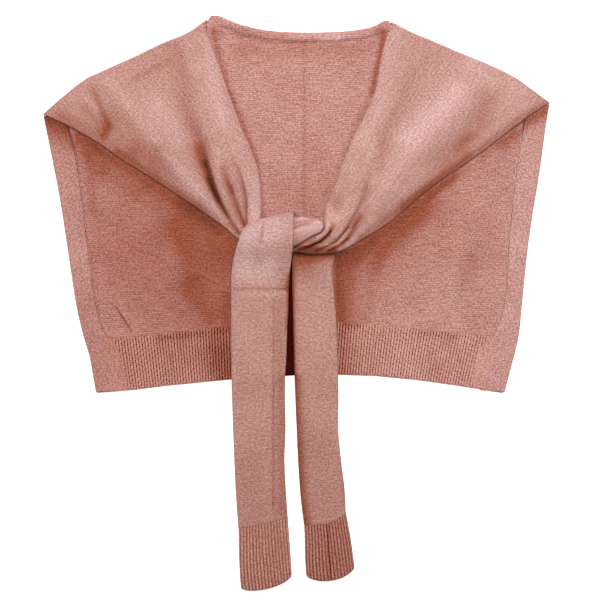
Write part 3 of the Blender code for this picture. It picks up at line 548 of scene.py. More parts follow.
def yarn_group() -> bpy.types.NodeTree:
    """The colour of heathered yarn.

    A share between the dark and the light fibres is the sum of painted shade and light that follow the
    stitches' relief, of fine flecks and of streaks along the grain. The painted light attribute then lays
    painted shade on the colour up to 1 and deeper painted shade up to 2, or painted highlight down to -1.

    Returns:
        The group, which puts out the colour.
    """
    group, given, out = new_group(
        "heathered_yarn",
        {"Map": ("NodeSocketVector", None), "Dark": ("NodeSocketColor", None),
         "Light": ("NodeSocketColor", None), "Height": ("NodeSocketFloat", 1.0),
         "Fleck": ("NodeSocketFloat", 2.5), "Stitch": ("NodeSocketFloat", 0.5),
         "Grain": ("NodeSocketVector", None), "Tone": ("NodeSocketFloat", 0.0)},
        {"Colour": "NodeSocketColor"})
    web = NodeWeb(group)

    def noise(vector: Socket, scale: float, detail: float) -> Socket:
        """A noise less its mean."""
        made = web.node("ShaderNodeTexNoise")
        web.feed(made.inputs["Vector"], vector)
        web.feed(made.inputs["Scale"], scale)
        web.feed(made.inputs["Detail"], detail)
        return web.math("SUBTRACT", made.outputs["Fac"], 0.5)

    stretched = web.node("ShaderNodeVectorMath", operation="MULTIPLY")
    web.feed(stretched.inputs[0], given.outputs["Map"])
    web.feed(stretched.inputs[1], given.outputs["Grain"])
    fine = web.math("MULTIPLY", noise(given.outputs["Map"], FLECK_SCALE, 1.0), given.outputs["Fleck"])
    streak = web.math("MULTIPLY", noise(stretched.outputs[0], 1.0, 2.0), STREAK_SHARE)
    broad = web.math("MULTIPLY", noise(given.outputs["Map"], PATCH_SCALE, 2.0), PATCH_SHARE)
    # Painted shade in the stitches' hollows and painted light on their tops.
    relief = web.math("MULTIPLY", web.math("SUBTRACT", given.outputs["Height"], MEAN_RELIEF),
                      given.outputs["Stitch"])
    share = web.math("ADD", web.math("ADD", fine, streak), web.math("ADD", broad, relief))
    share = web.spread(share, -0.5, 0.5, 0.0, 1.0)
    colour = web.blend(share, given.outputs["Dark"], given.outputs["Light"])
    tone = given.outputs["Tone"]
    # Painted shade up to 1, deeper painted shade up to 2, painted highlight down to -1.
    for low, high, tint in ((0.0, 1.0, PAINTED_SHADE), (1.0, 2.0, PAINTED_DEEP_SHADE), (0.0, -1.0, PAINTED_HIGHLIGHT)):
        tinted = web.node("ShaderNodeMix", data_type="RGBA", blend_type="MULTIPLY")
        web.feed(tinted.inputs["Factor"], web.spread(tone, low, high, 0.0, 1.0))
        web.feed(tinted.inputs["A"], colour)
        web.feed(tinted.inputs["B"], (*tint, 1.0))
        colour = tinted.outputs["Result"]
    web.feed(out.inputs["Colour"], colour)
    return group


class Face(Enum):
    """Which side of the knit shows."""

    RIGHT = 0.0
    WRONG = 1.0


@dataclass(frozen=True)
class KnitFinish:
    """A knitted cloth's finish.

    Attributes:
        slot: The record's material slot.
        yarn: Mean colour of the yarn.
        face: The side of the knit that shows.
        wale: Width of a wale, in millimetres.
        course: Height of a course, in millimetres.
        relief: Height of the stitches, in millimetres.
        contrast: How far the dark and light fibres stand from the mean, from 0 to 1.
        fleck: How strong the flecks are.
        stitch: How strongly shade is painted in the hollows between the stitches, and light on their tops.
        grain: Streaks to a metre across the wales and along them.
        slant: How far a leg rises from the wale's middle to its edge, in courses for each wale.
        sheen: Weight of the soft light that the nap gives back at a slant.
    """

    slot: str
    yarn: tuple[float, float, float]
    face: Face = Face.RIGHT
    wale: float = 2.8
    course: float = 2.1
    relief: float = 0.5
    contrast: float = 0.42
    fleck: float = 2.4
    stitch: float = 0.9
    grain: tuple[float, float] = (420.0, 50.0)
    slant: float = 1.6
    sheen: float = 0.05

    def fibres(self) -> tuple[tuple[float, ...], tuple[float, ...]]:
        """The dark fibres' colour, which is more saturated, and the light fibres'."""
        dark = tuple(value * (1.0 - self.contrast) ** power
                     for value, power in zip(self.yarn, DARK_POWERS))
        light = tuple(min(value * (1.0 + self.contrast * gain), 1.0)
                      for value, gain in zip(self.yarn, LIGHT_GAINS))
        return (*dark, 1.0), (*light, 1.0)

    def material(self, groups: dict[str, bpy.types.NodeTree]) -> bpy.types.Material:
        """Makes the finish's material.

        Args:
            groups: The shared node groups by name.

        Returns:
            The new material, named after its slot.
        """
        made = bpy.data.materials.new(self.slot)
        made.use_nodes = True
        web = NodeWeb(made.node_tree)
        shader = made.node_tree.nodes["Principled BSDF"]
        shader.inputs["Metallic"].default_value = 0.0
        shader.inputs["Specular IOR Level"].default_value = 0.0
        shader.inputs["Sheen Weight"].default_value = self.sheen
        shader.inputs["Sheen Roughness"].default_value = 0.45
        shader.inputs["Sheen Tint"].default_value = (1.0, 0.86, 0.82, 1.0)
        knit_map = web.node("ShaderNodeUVMap", uv_map=KNIT_MAP).outputs[0]
        # Painted shade and light, read from the point attribute.
        tone = web.node("ShaderNodeAttribute", attribute_name=PAINTED_LIGHT).outputs["Fac"]
        stitches = web.node("ShaderNodeGroup", node_tree=groups["stitches"])
        for name, value in (("Map", knit_map), ("Wale", self.wale * MM), ("Course", self.course * MM),
                            ("Slant", self.slant), ("Wrong side", self.face.value)):
            web.feed(stitches.inputs[name], value)
        dark, light = self.fibres()
        yarn = web.node("ShaderNodeGroup", node_tree=groups["yarn"])
        for name, value in (("Map", knit_map), ("Dark", dark), ("Light", light), ("Fleck", self.fleck),
                            ("Height", stitches.outputs["Height"]), ("Stitch", self.stitch),
                            ("Grain", (*self.grain, 0.0)), ("Tone", tone)):
            web.feed(yarn.inputs[name], value)
        web.feed(shader.inputs["Base Color"], yarn.outputs["Colour"])
        web.feed(shader.inputs["Roughness"], web.spread(stitches.outputs["Height"], 0.0, 1.0, 0.98, 0.86))
        bump = web.node("ShaderNodeBump")
        web.feed(bump.inputs["Strength"], 1.0)
        web.feed(bump.inputs["Distance"], self.relief * MM)
        web.feed(bump.inputs["Height"], stitches.outputs["Height"])
        web.feed(shader.inputs["Normal"], bump.outputs["Normal"])
        return made


@dataclass
class Layout:
    """Outlines that pieces share, and the heights at which one lies on another.

    Side edges run from the top down and seams from left to right, in columns x, y.

    Attributes:
        waves: Soft waves of the back panel. Columns: start x, start y, end x, end y, half width,
            height.
        heap_line: Middle line of the knot's heap, in columns x, y.
        heap_height: Height of the heap above one layer of cloth.
        heap_reach: Distance from its line at which it falls to about a third.
        band_ease: Distances inside a band's inner edge over which a front comes down off it.
    """

    side_left: Table = ((-304, 226), (-296, 187), (-284.2, 126), (-274.6, 64.2), (-265, 1.2),
                        (-256.9, -35.2), (-248.7, -63.2), (-243.8, -89.6), (-240.6, -107.4))
    side_right: Table = ((304, 240.4), (298.3, 203), (291.4, 152.4), (284.5, 111), (277.6, 62.4),
                         (271.9, 6.2), (266.9, -40.3), (258.1, -77), (250, -107.6))
    band_inner_left: Table = ((-276, 238), (-271.9, 208.8), (-262.7, 175.8), (-254.6, 115.7),
                              (-248.5, 64.2), (-240.8, 8.4), (-232.9, -26.4), (-224.8, -41.9),
                              (-215.2, -61.2), (-213, -81.6), (-214, -106))
    band_inner_right: Table = ((276.5, 246), (271.9, 216.7), (266.1, 184.6), (259.3, 134),
                               (253.5, 69.6), (251.2, 22.3), (245.5, -12.1), (233.6, -40.2),
                               (222.8, -56.4), (219.2, -75.6), (220.5, -104.6))
    rib_seam: Table = ((-255, -42.6), (-224.8, -41.9), (-201.5, -40.6), (-157.6, -37.8),
                       (-126.4, -31.7), (-80.8, -27.6), (0, -22), (48.8, -22.4), (78.8, -24.1),
                       (124.4, -28.3), (172.4, -34.2), (215.2, -37.6), (265, -41.5))
    hem_edge: Table = ((-239, -108), (-223, -106.9), (-192.4, -104.3), (-157.6, -99.8),
                       (-126.4, -96.8), (-79.6, -92), (0, -86.8), (50.6, -86.4), (96.2, -88),
                       (142.1, -92.5), (172.4, -96.6), (203, -101), (233.6, -106.1),
                       (248.6, -108.4))
    neck_edge: Table = ((-105.2, 341), (-102.8, 345), (-98, 345.2), (-90.8, 344.4),
                        (-67.1, 334.7), (-35.2, 327.6), (4.4, 325.1), (50.3, 325.9), (80, 329.2),
                        (96.2, 334), (104, 338.4), (111, 339.4))
    shoulder_left: Table = ((-108.4, 340.6), (-123, 329.6), (-136.9, 321.8), (-163.6, 311),
                            (-194.8, 295.9), (-240.8, 275.2), (-256.9, 266.6), (-283.6, 244.8),
                            (-304, 226.6))
    shoulder_right: Table = ((114, 338.4), (137.6, 325.8), (161.6, 315.8), (195.2, 301.4),
                             (231.2, 286.6), (260, 272.4), (280, 258.4), (304, 240.6))
    waves: Table = ((-136, 44, -131, 4, 15, 2.6), (-200, 60, -187, 10, 18, 1.6),
                    (148, 60, 126, 10, 16, 2.6), (215, 96, 192, 20, 14, 1.8))
    heap_line: Table = ((-46, 83), (-25, 81), (5, 80), (42, 84), (62, 98))
    heap_height: float = 12.0
    heap_reach: float = 21.0
    band_ease: tuple[float, float] = (10.0, 20.0)

    def panel_lift(self, x: Array, y: Array) -> Array:
        """Height by which the back panel's waves lift off the surface: the highest wave's S slope."""
        lift = np.zeros(np.broadcast(x, y).shape)
        for start_x, start_y, end_x, end_y, half_width, height in self.waves:
            away = distance_to_line(x, y, [(start_x, start_y), (end_x, end_y)])
            lift = np.maximum(lift, height * (1.0 - smooth_step(away, 0.0, 2.0 * half_width)))
        return lift

    def heap(self, x: Array, y: Array) -> Array:
        """Height of the knot's heap above one layer of cloth: a bell curve across its middle line."""
        away = distance_to_line(x, y, self.heap_line)
        return self.heap_height * np.exp(-(away / self.heap_reach) ** 2)

    def rest(self, x: Array, y: Array) -> Array:
        """Height at which a front lies: just above the panel, its bands and its waves."""
        inside = np.minimum(x - x_at(self.band_inner_left, y), x_at(self.band_inner_right, y) - x)
        beside_band = 1.0 - smooth_step(inside, *self.band_ease)
        return CLOTH + self.panel_lift(x, y) + (BAND_TOP - CLOTH) * beside_band + SEAM


@dataclass
class BackPanel:
    """The back, wrong side up, from its rolled neck edge and shoulder folds to the rib seam.

    Attributes:
        layout: The outlines that it shares with other pieces.
        finish: Its knit.
        corners: Where its edges meet under the fronts' corners, x and y of left and right.
        feet: Height y of its lower corners.
        shoulder_inset: Distance of its edge inside the shoulder folds.
        shoulder_share: Share of the shoulder folds that it follows.
        roll: Section of the neck's roll. Columns: distance below the edge, share of its height.
        roll_height: Height of the roll above the cloth.
        roll_left: Places x between which the roll grows, at its left end.
        roll_right: Places x between which it fades, at its right end.
        close_across: Shares across between which its grid is close, for the pinched crease.
        close_along: Shares of its height between which its grid is close.
        close_steps: The close grid's steps across and along.
        uneven: Height and wave length of the gentle unevenness of its face.
        wander: How far its wales and courses wander, and over what length, a row each.
        thinnest: Least height of its face above its underside.
        creases: The small creases in it.
        shades: Where shade is painted on it, and light where a strength is below 0.
    """

    layout: Layout
    finish: KnitFinish
    corners: Table = ((-301.2, 224.6), (301.2, 238.4))
    feet: tuple[float, float] = (-42.3, -41.2)
    shoulder_inset: float = 2.6
    shoulder_share: float = 0.975
    roll: Table = ((0.0, -0.35), (0.8, 0.15), (3.0, 0.85), (6.0, 1.0), (9.4, 0.75), (12.8, -0.16),
                   (17.0, 0.0))
    roll_height: float = 3.0
    roll_left: tuple[float, float] = (-99.0, -88.0)
    roll_right: tuple[float, float] = (92.0, 103.0)
    close_across: tuple[float, float] = (0.058, 0.118)
    close_along: tuple[float, float] = (0.012, 0.148)
    close_steps: tuple[float, float] = (0.00175, 0.0034)
    uneven: tuple[float, float] = (0.12, 34.0)
    wander: Table = ((0.5, 70.0), (0.9, 55.0))
    thinnest: float = 0.9
    creases: tuple[Crease, ...] = ()
    shades: Table = ()

    def edge(self, side: Table, inset: float, y: Array) -> Array:
        """Place across of the panel's edge, a set distance inside a side edge."""
        fine = offset_inward(curve_through(side, np.linspace(0.0, 1.0, 80)), inset)[::-1]
        return np.interp(y, fine[:, 1], fine[:, 0])

    def plan(self) -> Array:
        """The panel's points in plan: a sheet spanned between its four edges."""
        shape = self.layout
        inset = BAND_WALL + 2.0 * SEAM
        shares = np.linspace(0.0, self.shoulder_share, 55)
        left = offset_inward(curve_through(shape.shoulder_left, shares), self.shoulder_inset)[::-1]
        right = offset_inward(curve_through(shape.shoulder_right, shares), -self.shoulder_inset)
        neck = curve_through(shape.neck_edge, np.linspace(0.0, 1.0, 90))
        top = np.vstack([self.corners[0], left, neck, right, self.corners[1]])
        across = lengths_along(top, 0) / lengths_along(top, 0)[-1]
        closer = np.union1d(across, np.arange(*self.close_across, self.close_steps[0]))
        top = np.stack([np.interp(closer, across, top[:, k]) for k in range(2)], axis=-1)
        across = closer
        ends = (self.edge(shape.side_left, inset, self.feet[0]),
                self.edge(shape.side_right, -inset, self.feet[1]))
        seam_x = ends[0] + (ends[1] - ends[0]) * across
        seam = np.stack([seam_x, y_at(shape.rib_seam, seam_x) + SEAM], axis=-1)
        along = np.concatenate([[0.0, 0.0008, 0.0025], np.linspace(0.005, 0.94, 112),
                                np.linspace(0.945, 0.994, 20), [0.9965, 0.9985, 0.9996, 1.0]])
        along = np.union1d(along, np.arange(*self.close_along, self.close_steps[1]))
        left_y = seam[0, 1] + (top[0, 1] - seam[0, 1]) * along
        right_y = seam[-1, 1] + (top[-1, 1] - seam[-1, 1]) * along
        side_left = np.stack([self.edge(shape.side_left, inset, left_y), left_y], axis=-1)
        side_right = np.stack([self.edge(shape.side_right, -inset, right_y), right_y], axis=-1)
        u, v = across[None, :, None], along[:, None, None]
        corners = ((1 - u) * (1 - v) * seam[0] + u * (1 - v) * seam[-1]
                   + (1 - u) * v * top[0] + u * v * top[-1])
        return ((1 - u) * side_left[:, None] + u * side_right[:, None] + (1 - v) * seam[None]
                + v * top[None] - corners)

    def build(self, materials: dict[str, bpy.types.Material]) -> bpy.types.Object:
        """Its face is the cloth's height plus the waves, the neck's roll and the creases, each a
        bell curve across its line.

        Args:
            materials: Materials by slot.

        Returns:
            The piece.
        """
        grid = self.plan()
        x, y = grid[..., 0], grid[..., 1]
        lift = self.layout.panel_lift(x, y)
        below_neck = y_at(self.layout.neck_edge, x) - y
        in_neck = smooth_step(x, *self.roll_left) * (1.0 - smooth_step(x, *self.roll_right))
        roll = read_through(*zip(*self.roll), np.clip(below_neck, 0.0, self.roll[-1][0]))
        face = CLOTH + lift + self.roll_height * roll * in_neck
        face = face + self.uneven[0] * unevenness(x, y, self.uneven[1])
        # Painted shade and light from its shade lines and in its creases.
        tone = shade(x, y, self.shades)
        for crease in self.creases:
            depth, crease_shade = crease.press(x, y)
            face = face - depth
            tone = tone + crease_shade
        face = np.maximum(face, lift + self.thinnest)
        knit = np.dstack([place + drift * unevenness(x, y, length)
                          for place, (drift, length) in zip((x, y), self.wander)])
        wall = Wall(np.dstack([x, y, face]), np.dstack([x, y, lift]), knit, tone)
        piece = wall.build("cloth_back_panel", materials[self.finish.slot])
        return declare(piece, "back_panel")


@dataclass
class HemRib:
    """The ribbed band below the arched seam. Its ribs fade into plain knit at both corners.

    Attributes:
        layout: The outlines that it shares with other pieces.
        finish: Its knit.
        groove_shade: How much shade is painted between two ribs.
        crest_highlight: Shade painted on a rib, below 0 where light is painted instead.
        seam_shade: How much more shade is painted between the ribs' ends, beside the seam.
        dash: Length over which a groove opens and closes with the stitches.
        dash_depth: How much it does so.
        dash_drift: How fast the step between neighbouring grooves' stitches changes.
        shades: Where shade is painted on it, and light where a strength is below 0.
        span: Places x of the seam's ends, for the count of ribs.
        pitch: Width of a rib.
        height: Height of a rib above the cloth.
        groove_depth: Depth of a groove below the cloth.
        run_in: Distance from the seam and the hem over which the ribs rise.
        length: Depth of the band.
        rim_rows: Distances of the grid's rows from the seam, and from the hem.
        even_rows: First, last and number of the rows between them.
        rims: Depth of the rounding at the seam and at the hem.
        thin_edge: Share of the cloth's height at the hem's outermost row.
        fade: Distances from a side band over which the ribs come out of the plain knit.
        fade_slant: How much later they do so at the hem than at the seam.
        band_step: Height and width of the step beside a side band.
        seam_inset: Distance of the seam's ends from the side edges, left and right.
        hem_inset: The same at the hem.
        points_per_rib: Grid columns for a rib.
    """

    layout: Layout
    finish: KnitFinish
    groove_shade: float = 2.4
    crest_highlight: float = -0.4
    seam_shade: float = 0.5
    dash: float = 6.2
    dash_depth: float = 0.34
    dash_drift: float = 0.002
    shades: Table = ()
    span: tuple[float, float] = (-251.5, 262.5)
    pitch: float = 3.52
    height: float = 0.8
    groove_depth: float = 0.45
    run_in: float = 2.6
    length: float = 65.0
    rim_rows: Sequence[float] = (0.0, 0.15, 0.45, 0.9, 1.5, 2.2, 3.0)
    even_rows: tuple[float, float, int] = (4.5, 60.5, 40)
    rims: tuple[float, float] = (0.8, 1.4)
    thin_edge: float = 0.45
    fade: tuple[float, float] = (-1.0, 5.0)
    fade_slant: float = 8.0
    band_step: tuple[float, float] = (0.9, 7.0)
    seam_inset: tuple[float, float] = (5.0, 2.8)
    hem_inset: tuple[float, float] = (2.8, 3.6)
    points_per_rib: int = 6

    def build(self, materials: dict[str, bpy.types.Material]) -> bpy.types.Object:
        """A rib's section is the square root of a half sine, round on top and narrow between two
        ribs. It runs in at the seam and the hem, and the hem edge is a quarter circle.

        Args:
            materials: Materials by slot.

        Returns:
            The piece.
        """
        shape = self.layout
        ribs = int(round((self.span[1] - self.span[0]) / self.pitch))
        share = np.linspace(0.0, 1.0, ribs * self.points_per_rib + 1)[None, :]
        section = np.sqrt(np.abs(np.sin(np.pi * ribs * share)))
        rim_rows = np.array(self.rim_rows) / self.length
        even_rows = np.linspace(*self.even_rows) / self.length
        down = np.concatenate([rim_rows, even_rows, 1.0 - rim_rows[::-1]])[:, None]
        seam_x = self.across(share, shape.rib_seam[0][1], shape.rib_seam[-1][1], self.seam_inset)
        hem_y = shape.hem_edge[0][1] + 3.0
        hem_x = self.across(share, hem_y, hem_y, self.hem_inset)
        seam_y = y_at(shape.rib_seam, seam_x) + 0.9 * SEAM
        x = seam_x + (hem_x - seam_x) * down
        y = seam_y + (y_at(shape.hem_edge, hem_x) - seam_y) * down
        from_band = np.minimum(x - x_at(shape.band_inner_left, y), x_at(shape.band_inner_right, y) - x)
        from_seam = down * self.length
        from_hem = (1.0 - down) * self.length
        ribbed = (smooth_step(from_band - self.fade_slant * down, *self.fade)
                  * smooth_step(from_seam, 0.1, self.run_in) * smooth_step(from_hem, 0.2, self.run_in))
        seam_rim, hem_rim = self.rims
        at_edge = np.minimum(0.75 + 0.25 * rounded(from_seam, seam_rim), rounded(from_hem, hem_rim))
        edge = self.thin_edge + (1.0 - self.thin_edge) * at_edge
        top = CLOTH * edge + (self.height * section - self.groove_depth * (1.0 - section)) * ribbed
        step, reach = self.band_step
        beside_band = 1.0 - smooth_step(from_band, 0.0, reach)
        top = top + step * beside_band * smooth_step(from_seam, 0.0, 4.0)
        rib = share * ribs
        knit = np.dstack([np.broadcast_to(rib * self.pitch, x.shape), -down * self.length + 0 * x])
        dashes = in_dashes(from_seam, rib, self.dash, self.dash_depth, self.dash_drift)
        # Painted shade in the grooves and beside the seam, painted light on the crests.
        tone = (self.groove_shade * (1.0 - section) * dashes + self.crest_highlight * section) * ribbed
        beside_seam = (1.0 - smooth_step(from_seam, 0.6, 2.4)) * smooth_step(from_band, *self.fade)
        tone = tone + shade(x, y, self.shades) + self.seam_shade * (1.0 - section) * beside_seam
        wall = Wall(np.dstack([x, y, top]), np.dstack([x, y, np.zeros_like(x)]), knit, tone)
        piece = wall.build("cloth_hem_rib", materials[self.finish.slot])
        return declare(piece, "hem_rib")

    def across(self, share: Array, left_y: float, right_y: float, inset: tuple[float, float]) -> Array:
        """Even places between the wrap's side edges.

        Args:
            share: Shares across.
            left_y: Height at which the left side edge is read.
            right_y: The same for the right.
            inset: Distances inside the left and the right edge.

        Returns:
            Places x, with the shape of the shares.
        """
        left = x_at(self.layout.side_left, left_y) + inset[0]
        right = x_at(self.layout.side_right, right_y) - inset[1]
        return left + (right - left) * share


class Side(Enum):
    """A side of the wrap, as the viewer sees it, with the sense in which its outlines turn."""

    LEFT = 1.0
    RIGHT = -1.0

    @property
    def word(self) -> str:
        """The side's name in the names of pieces."""
        return self.name.lower()


@dataclass
class SideBand:
    """A turned edge band: a strip on the panel whose fold goes round the panel's edge.

    Attributes:
        layout: The outlines that it shares with other pieces.
        finish: Its knit.
        side: The viewer's side that it is on.
        shades: Where shade is painted on it, and light where a strength is below 0.
        line_shade: How much shade is painted along the inner edge.
        highest: Share of the side edge left free above it, under the front's corner.
        beside_ribs: Distances below the middle between which it gets thinner, beside the ribs.
        fold_inset: Depth of its fold's rounding, inward from the side edge.
        slope: How much the strip falls towards its inner edge.
        uneven: Height and wave length of the gentle unevenness of its face.
        rows: Sections along it.
    """

    layout: Layout
    finish: KnitFinish
    side: Side
    shades: Table = ()
    line_shade: float = 0.45
    highest: float = 0.006
    beside_ribs: tuple[float, float] = (36.0, 52.0)
    fold_inset: float = 2.6
    slope: float = 1.3
    uneven: tuple[float, float] = (0.1, 26.0)
    rows: int = 170

    def profiles(self) -> tuple[Table, Table]:
        """The section's rows: up round the fold, over the strip and down its inner edge.

        The fold is half an ellipse and the inner edge a quarter of one. The inner rows run back
        below at one wall's distance.

        Returns:
            The outer and the inner rows, as many of each, in the columns that sections() reads.
        """
        under = CLOTH + SEAM
        thick = BAND_TOP - under
        half_turn = np.radians(np.linspace(-90.0, 90.0, 15))
        quarter_turn = np.radians(np.linspace(90.0, 0.0, 7))
        strip = np.linspace(0.06, 0.93, 14)
        outer = [(0.0, self.fold_inset * (1.0 - np.cos(a)), 0.5 * BAND_TOP * (1.0 + np.sin(a)), 0.0)
                 for a in half_turn]
        outer += [(s, self.fold_inset * (1.0 - s), BAND_TOP - self.slope * smooth_step(s, 0.3, 1.0), 1.0)
                  for s in strip]
        outer += [(1.0, -2.2 + 1.9 * np.cos(a), under - 0.25 + (thick - 1.05) * np.sin(a), 1.0)
                  for a in quarter_turn]
        inner = [(0.0, BAND_WALL + 0.25 * (1.0 - np.cos(a)), 0.5 * under * (1.0 + np.sin(a)), 0.0)
                 for a in half_turn]
        inner += [(s, BAND_WALL * (1.0 - s), under, 1.0) for s in strip]
        inner += [(1.0, -1.6 + 0.3 * np.cos(a), under, 1.0) for a in quarter_turn]
        return outer, inner

    def build(self, materials: dict[str, bpy.types.Material]) -> bpy.types.Object:
        """Args:
            materials: Materials by slot.

        Returns:
            The piece.
        """
        shape = self.layout
        left = self.side is Side.LEFT
        outer_table = shape.side_left if left else shape.side_right
        inner_table = shape.band_inner_left if left else shape.band_inner_right
        shares = np.linspace(self.highest, 1.0, self.rows)
        outer = curve_through(outer_table, shares)
        across = curve_through(inner_table, shares) - outer
        inward = offset_inward(outer, self.side.value) - outer
        low = smooth_step(-outer[:, 1], *self.beside_ribs)
        top, bottom = (self.sections(rows, outer, across, inward, low) for rows in self.profiles())
        height, length = self.uneven
        on_strip = smooth_step(top[..., 2], 3.2, 4.0)
        top[..., 2] += height * unevenness(top[..., 0], top[..., 1], length) * on_strip
        knit = np.dstack([lengths_along(top, 1), -lengths_along(top, 0)])
        inner_edge = smooth_step(np.linspace(0.0, 1.0, top.shape[1])[None, :], 0.86, 1.0)
        # Painted shade along the inner edge, where the band steps down to the panel.
        tone = (shade(top[..., 0], top[..., 1], self.shades)
                + self.line_shade * inner_edge * (1.0 - low)[:, None])
        name = f"side_band_{self.side.word}"
        piece = Wall(top, bottom, knit, tone).build(f"cloth_{name}", materials[self.finish.slot])
        return declare(piece, name)

    @staticmethod
    def sections(rows: Table, outer: Array, across: Array, inward: Array, low: Array) -> Array:
        """Places a section's points along the band.

        Args:
            rows: Section. Columns: share of the width inward, inset, height, 1 on the strip.
            outer: The side edge's points.
            across: Steps from the side edge to the inner edge.
            inward: Unit steps inward from the side edge.
            low: 1 beside the ribs, where the strip is thinner and its edge sinks, 0 above them.

        Returns:
            Points of shape (places, rows of the section, 3).
        """
        under = CLOTH + SEAM
        placed = []
        for share, inset, height, on_strip in rows:
            point = outer + across * share + inward * inset
            lowered = under + (height - under) * (1.0 - 0.55 * low) if height > under else height
            lowered = lowered - 0.26 * low * share**3 if on_strip else height
            placed.append(np.column_stack([point, np.broadcast_to(lowered, len(point))]))
        return np.stack(placed, axis=1)


@dataclass
class Front:
    """A front: its shoulder fold, its flap, and the bundle of gathers that it becomes at the knot.

    Attributes:
        layout: The outlines that it shares with other pieces.
        finish: Its knit.
        side: The viewer's side that it is on.
        flap: Inner and outer edge of the flap.
        bundle: Inner and outer edge of the bundle.
        creases: The valleys and ridges along it.
        shades: Where shade is painted on it, and light where a strength is below 0.
        crossing: Height at which it crosses the right tie. Columns: y, height. None for no crossing.
        crossing_ends: Places between which that height starts from the left and ends at the right,
            in x, and ends above, in y.
        rise: Height of its folds. Columns: share along it, height.
        rise_ends: Shares along it between which that height gives way to the knot's heap.
        curl: Section of the shoulder's turn. Columns: inset and height of the upper face, and the
            same of the lower face. Heights are shares of the height at which it lies.
        bundle_start: Share along it at which the bundle starts.
        edges_drop: Share by which the heap drops at its edges. Columns: share along it, drop.
        edge_width: Share of its width over which it drops.
        thin_edge: Share of the cloth's height at its outermost row.
        edge_shade: How much shade is painted along its edges.
        edge_reach: Distances from an edge between which it stops doing so.
        rim: Depth of its edges' rounding.
        uneven: Height and wave length of the gentle unevenness of its face.
        ease: How softly a deep trough flattens out on what is below.
        linked: Length of the linked seam along its inner edge, from the shoulder.
        link_width: Width of that seam.
        link_pitch: Length of one of its stitches.
        link_heights: Height of its stitches and of the seam.
        link_light_and_shade: Painted light on its stitches where they rise and shade where they fall, and
            painted shade on the seam.
        columns: Even grid columns between the rims.
        flap_rows: Grid rows of the flap.
        bundle_rows: Grid rows of the bundle.
    """

    layout: Layout
    finish: KnitFinish
    side: Side
    flap: tuple[Table, Table]
    bundle: tuple[Table, Table]
    creases: tuple[Crease, ...]
    shades: Table
    crossing: Table | None = None
    crossing_ends: Table = ((-18.0, -11.0), (53.0, 60.0), (68.0, 74.0))
    rise: Table = ((0.0, 0.8), (0.12, 4.0), (0.3, 7.0), (0.5, 10.0), (0.62, 11.0), (0.75, 9.0),
                   (1.0, 2.5))
    rise_ends: tuple[float, float] = (0.52, 0.72)
    curl: Table = ((0.5, 0.0, 2.0, 0.0), (0.0, 0.45, 2.0, 0.4), (0.1, 1.15, 2.0, 0.85),
                   (1.1, 1.7, 2.6, 1.0))
    bundle_start: float = 0.72
    edges_drop: Table = ((0.50, 0.0), (0.58, 0.12), (0.66, 0.35), (0.75, 0.5), (0.84, 0.35),
                         (0.92, 0.15), (1.0, 0.1))
    edge_width: float = 0.1
    thin_edge: float = 0.3
    edge_shade: float = 0.3
    edge_reach: tuple[float, float] = (0.4, 2.2)
    rim: float = 1.6
    uneven: tuple[float, float] = (0.22, 30.0)
    ease: float = 0.3
    linked: float = 16.0
    link_width: float = 3.4
    link_pitch: float = 3.1
    link_heights: tuple[float, float] = (0.5, 0.4)
    link_light_and_shade: tuple[float, float] = (-0.7, 0.2)
    columns: int = 128
    flap_rows: int = 136
    bundle_rows: int = 84

    def rest(self, x: Array, y: Array) -> Array:
        """Height at which the front lies, over the right tie where it crosses it."""
        lies = self.layout.rest(x, y)
        if self.crossing is None:
            return lies
        rows = np.asarray(self.crossing, float)
        top = np.interp(-y, -rows[:, 0], rows[:, 1])
        from_left, from_right, from_above = self.crossing_ends
        inside = (smooth_step(x, *from_left) * (1.0 - smooth_step(x, *from_right))
                  * (1.0 - smooth_step(y, *from_above)))
        return np.maximum(lies, top * inside)

    def grid(self) -> tuple[Array, Array, Array, Array]:
        """The front in plan: the flap's sheet, then the bundle's.

        Returns:
            x and y of the points, their shares across, and their shares along.
        """
        shape = self.layout
        shoulder = shape.shoulder_left if self.side is Side.LEFT else shape.shoulder_right
        first = np.linspace(0.0, 1.0, self.flap_rows + 1)[1:]
        second = np.linspace(0.0, 1.0, self.bundle_rows + 1)[1:]
        middle = [self.flap[0][-1], self.flap[1][-1]]
        end = [self.bundle[0][-1], self.bundle[1][-1]]

        def spread(edges: tuple[Table, Table], along: Array) -> Array:
            """Shares across for the width between two edges, with close rows at the rims."""
            width = np.linalg.norm(curve_through(edges[0], along) - curve_through(edges[1], along), axis=1)
            return rim_spaced(self.columns, np.maximum(width, 5.0), self.rim)

        first_across = spread(self.flap, first)
        second_across = spread(self.bundle, second)
        flap = patch_between(*self.flap, shoulder, middle, first_across, first)
        bundle = patch_between(*self.bundle, middle, end, second_across, second)
        plan = np.concatenate([flap, bundle])
        along = np.concatenate([first * self.bundle_start,
                                self.bundle_start + second * (1.0 - self.bundle_start)])
        u = np.concatenate([first_across, second_across])
        return plan[..., 0], plan[..., 1], u, np.broadcast_to(along[:, None], u.shape)

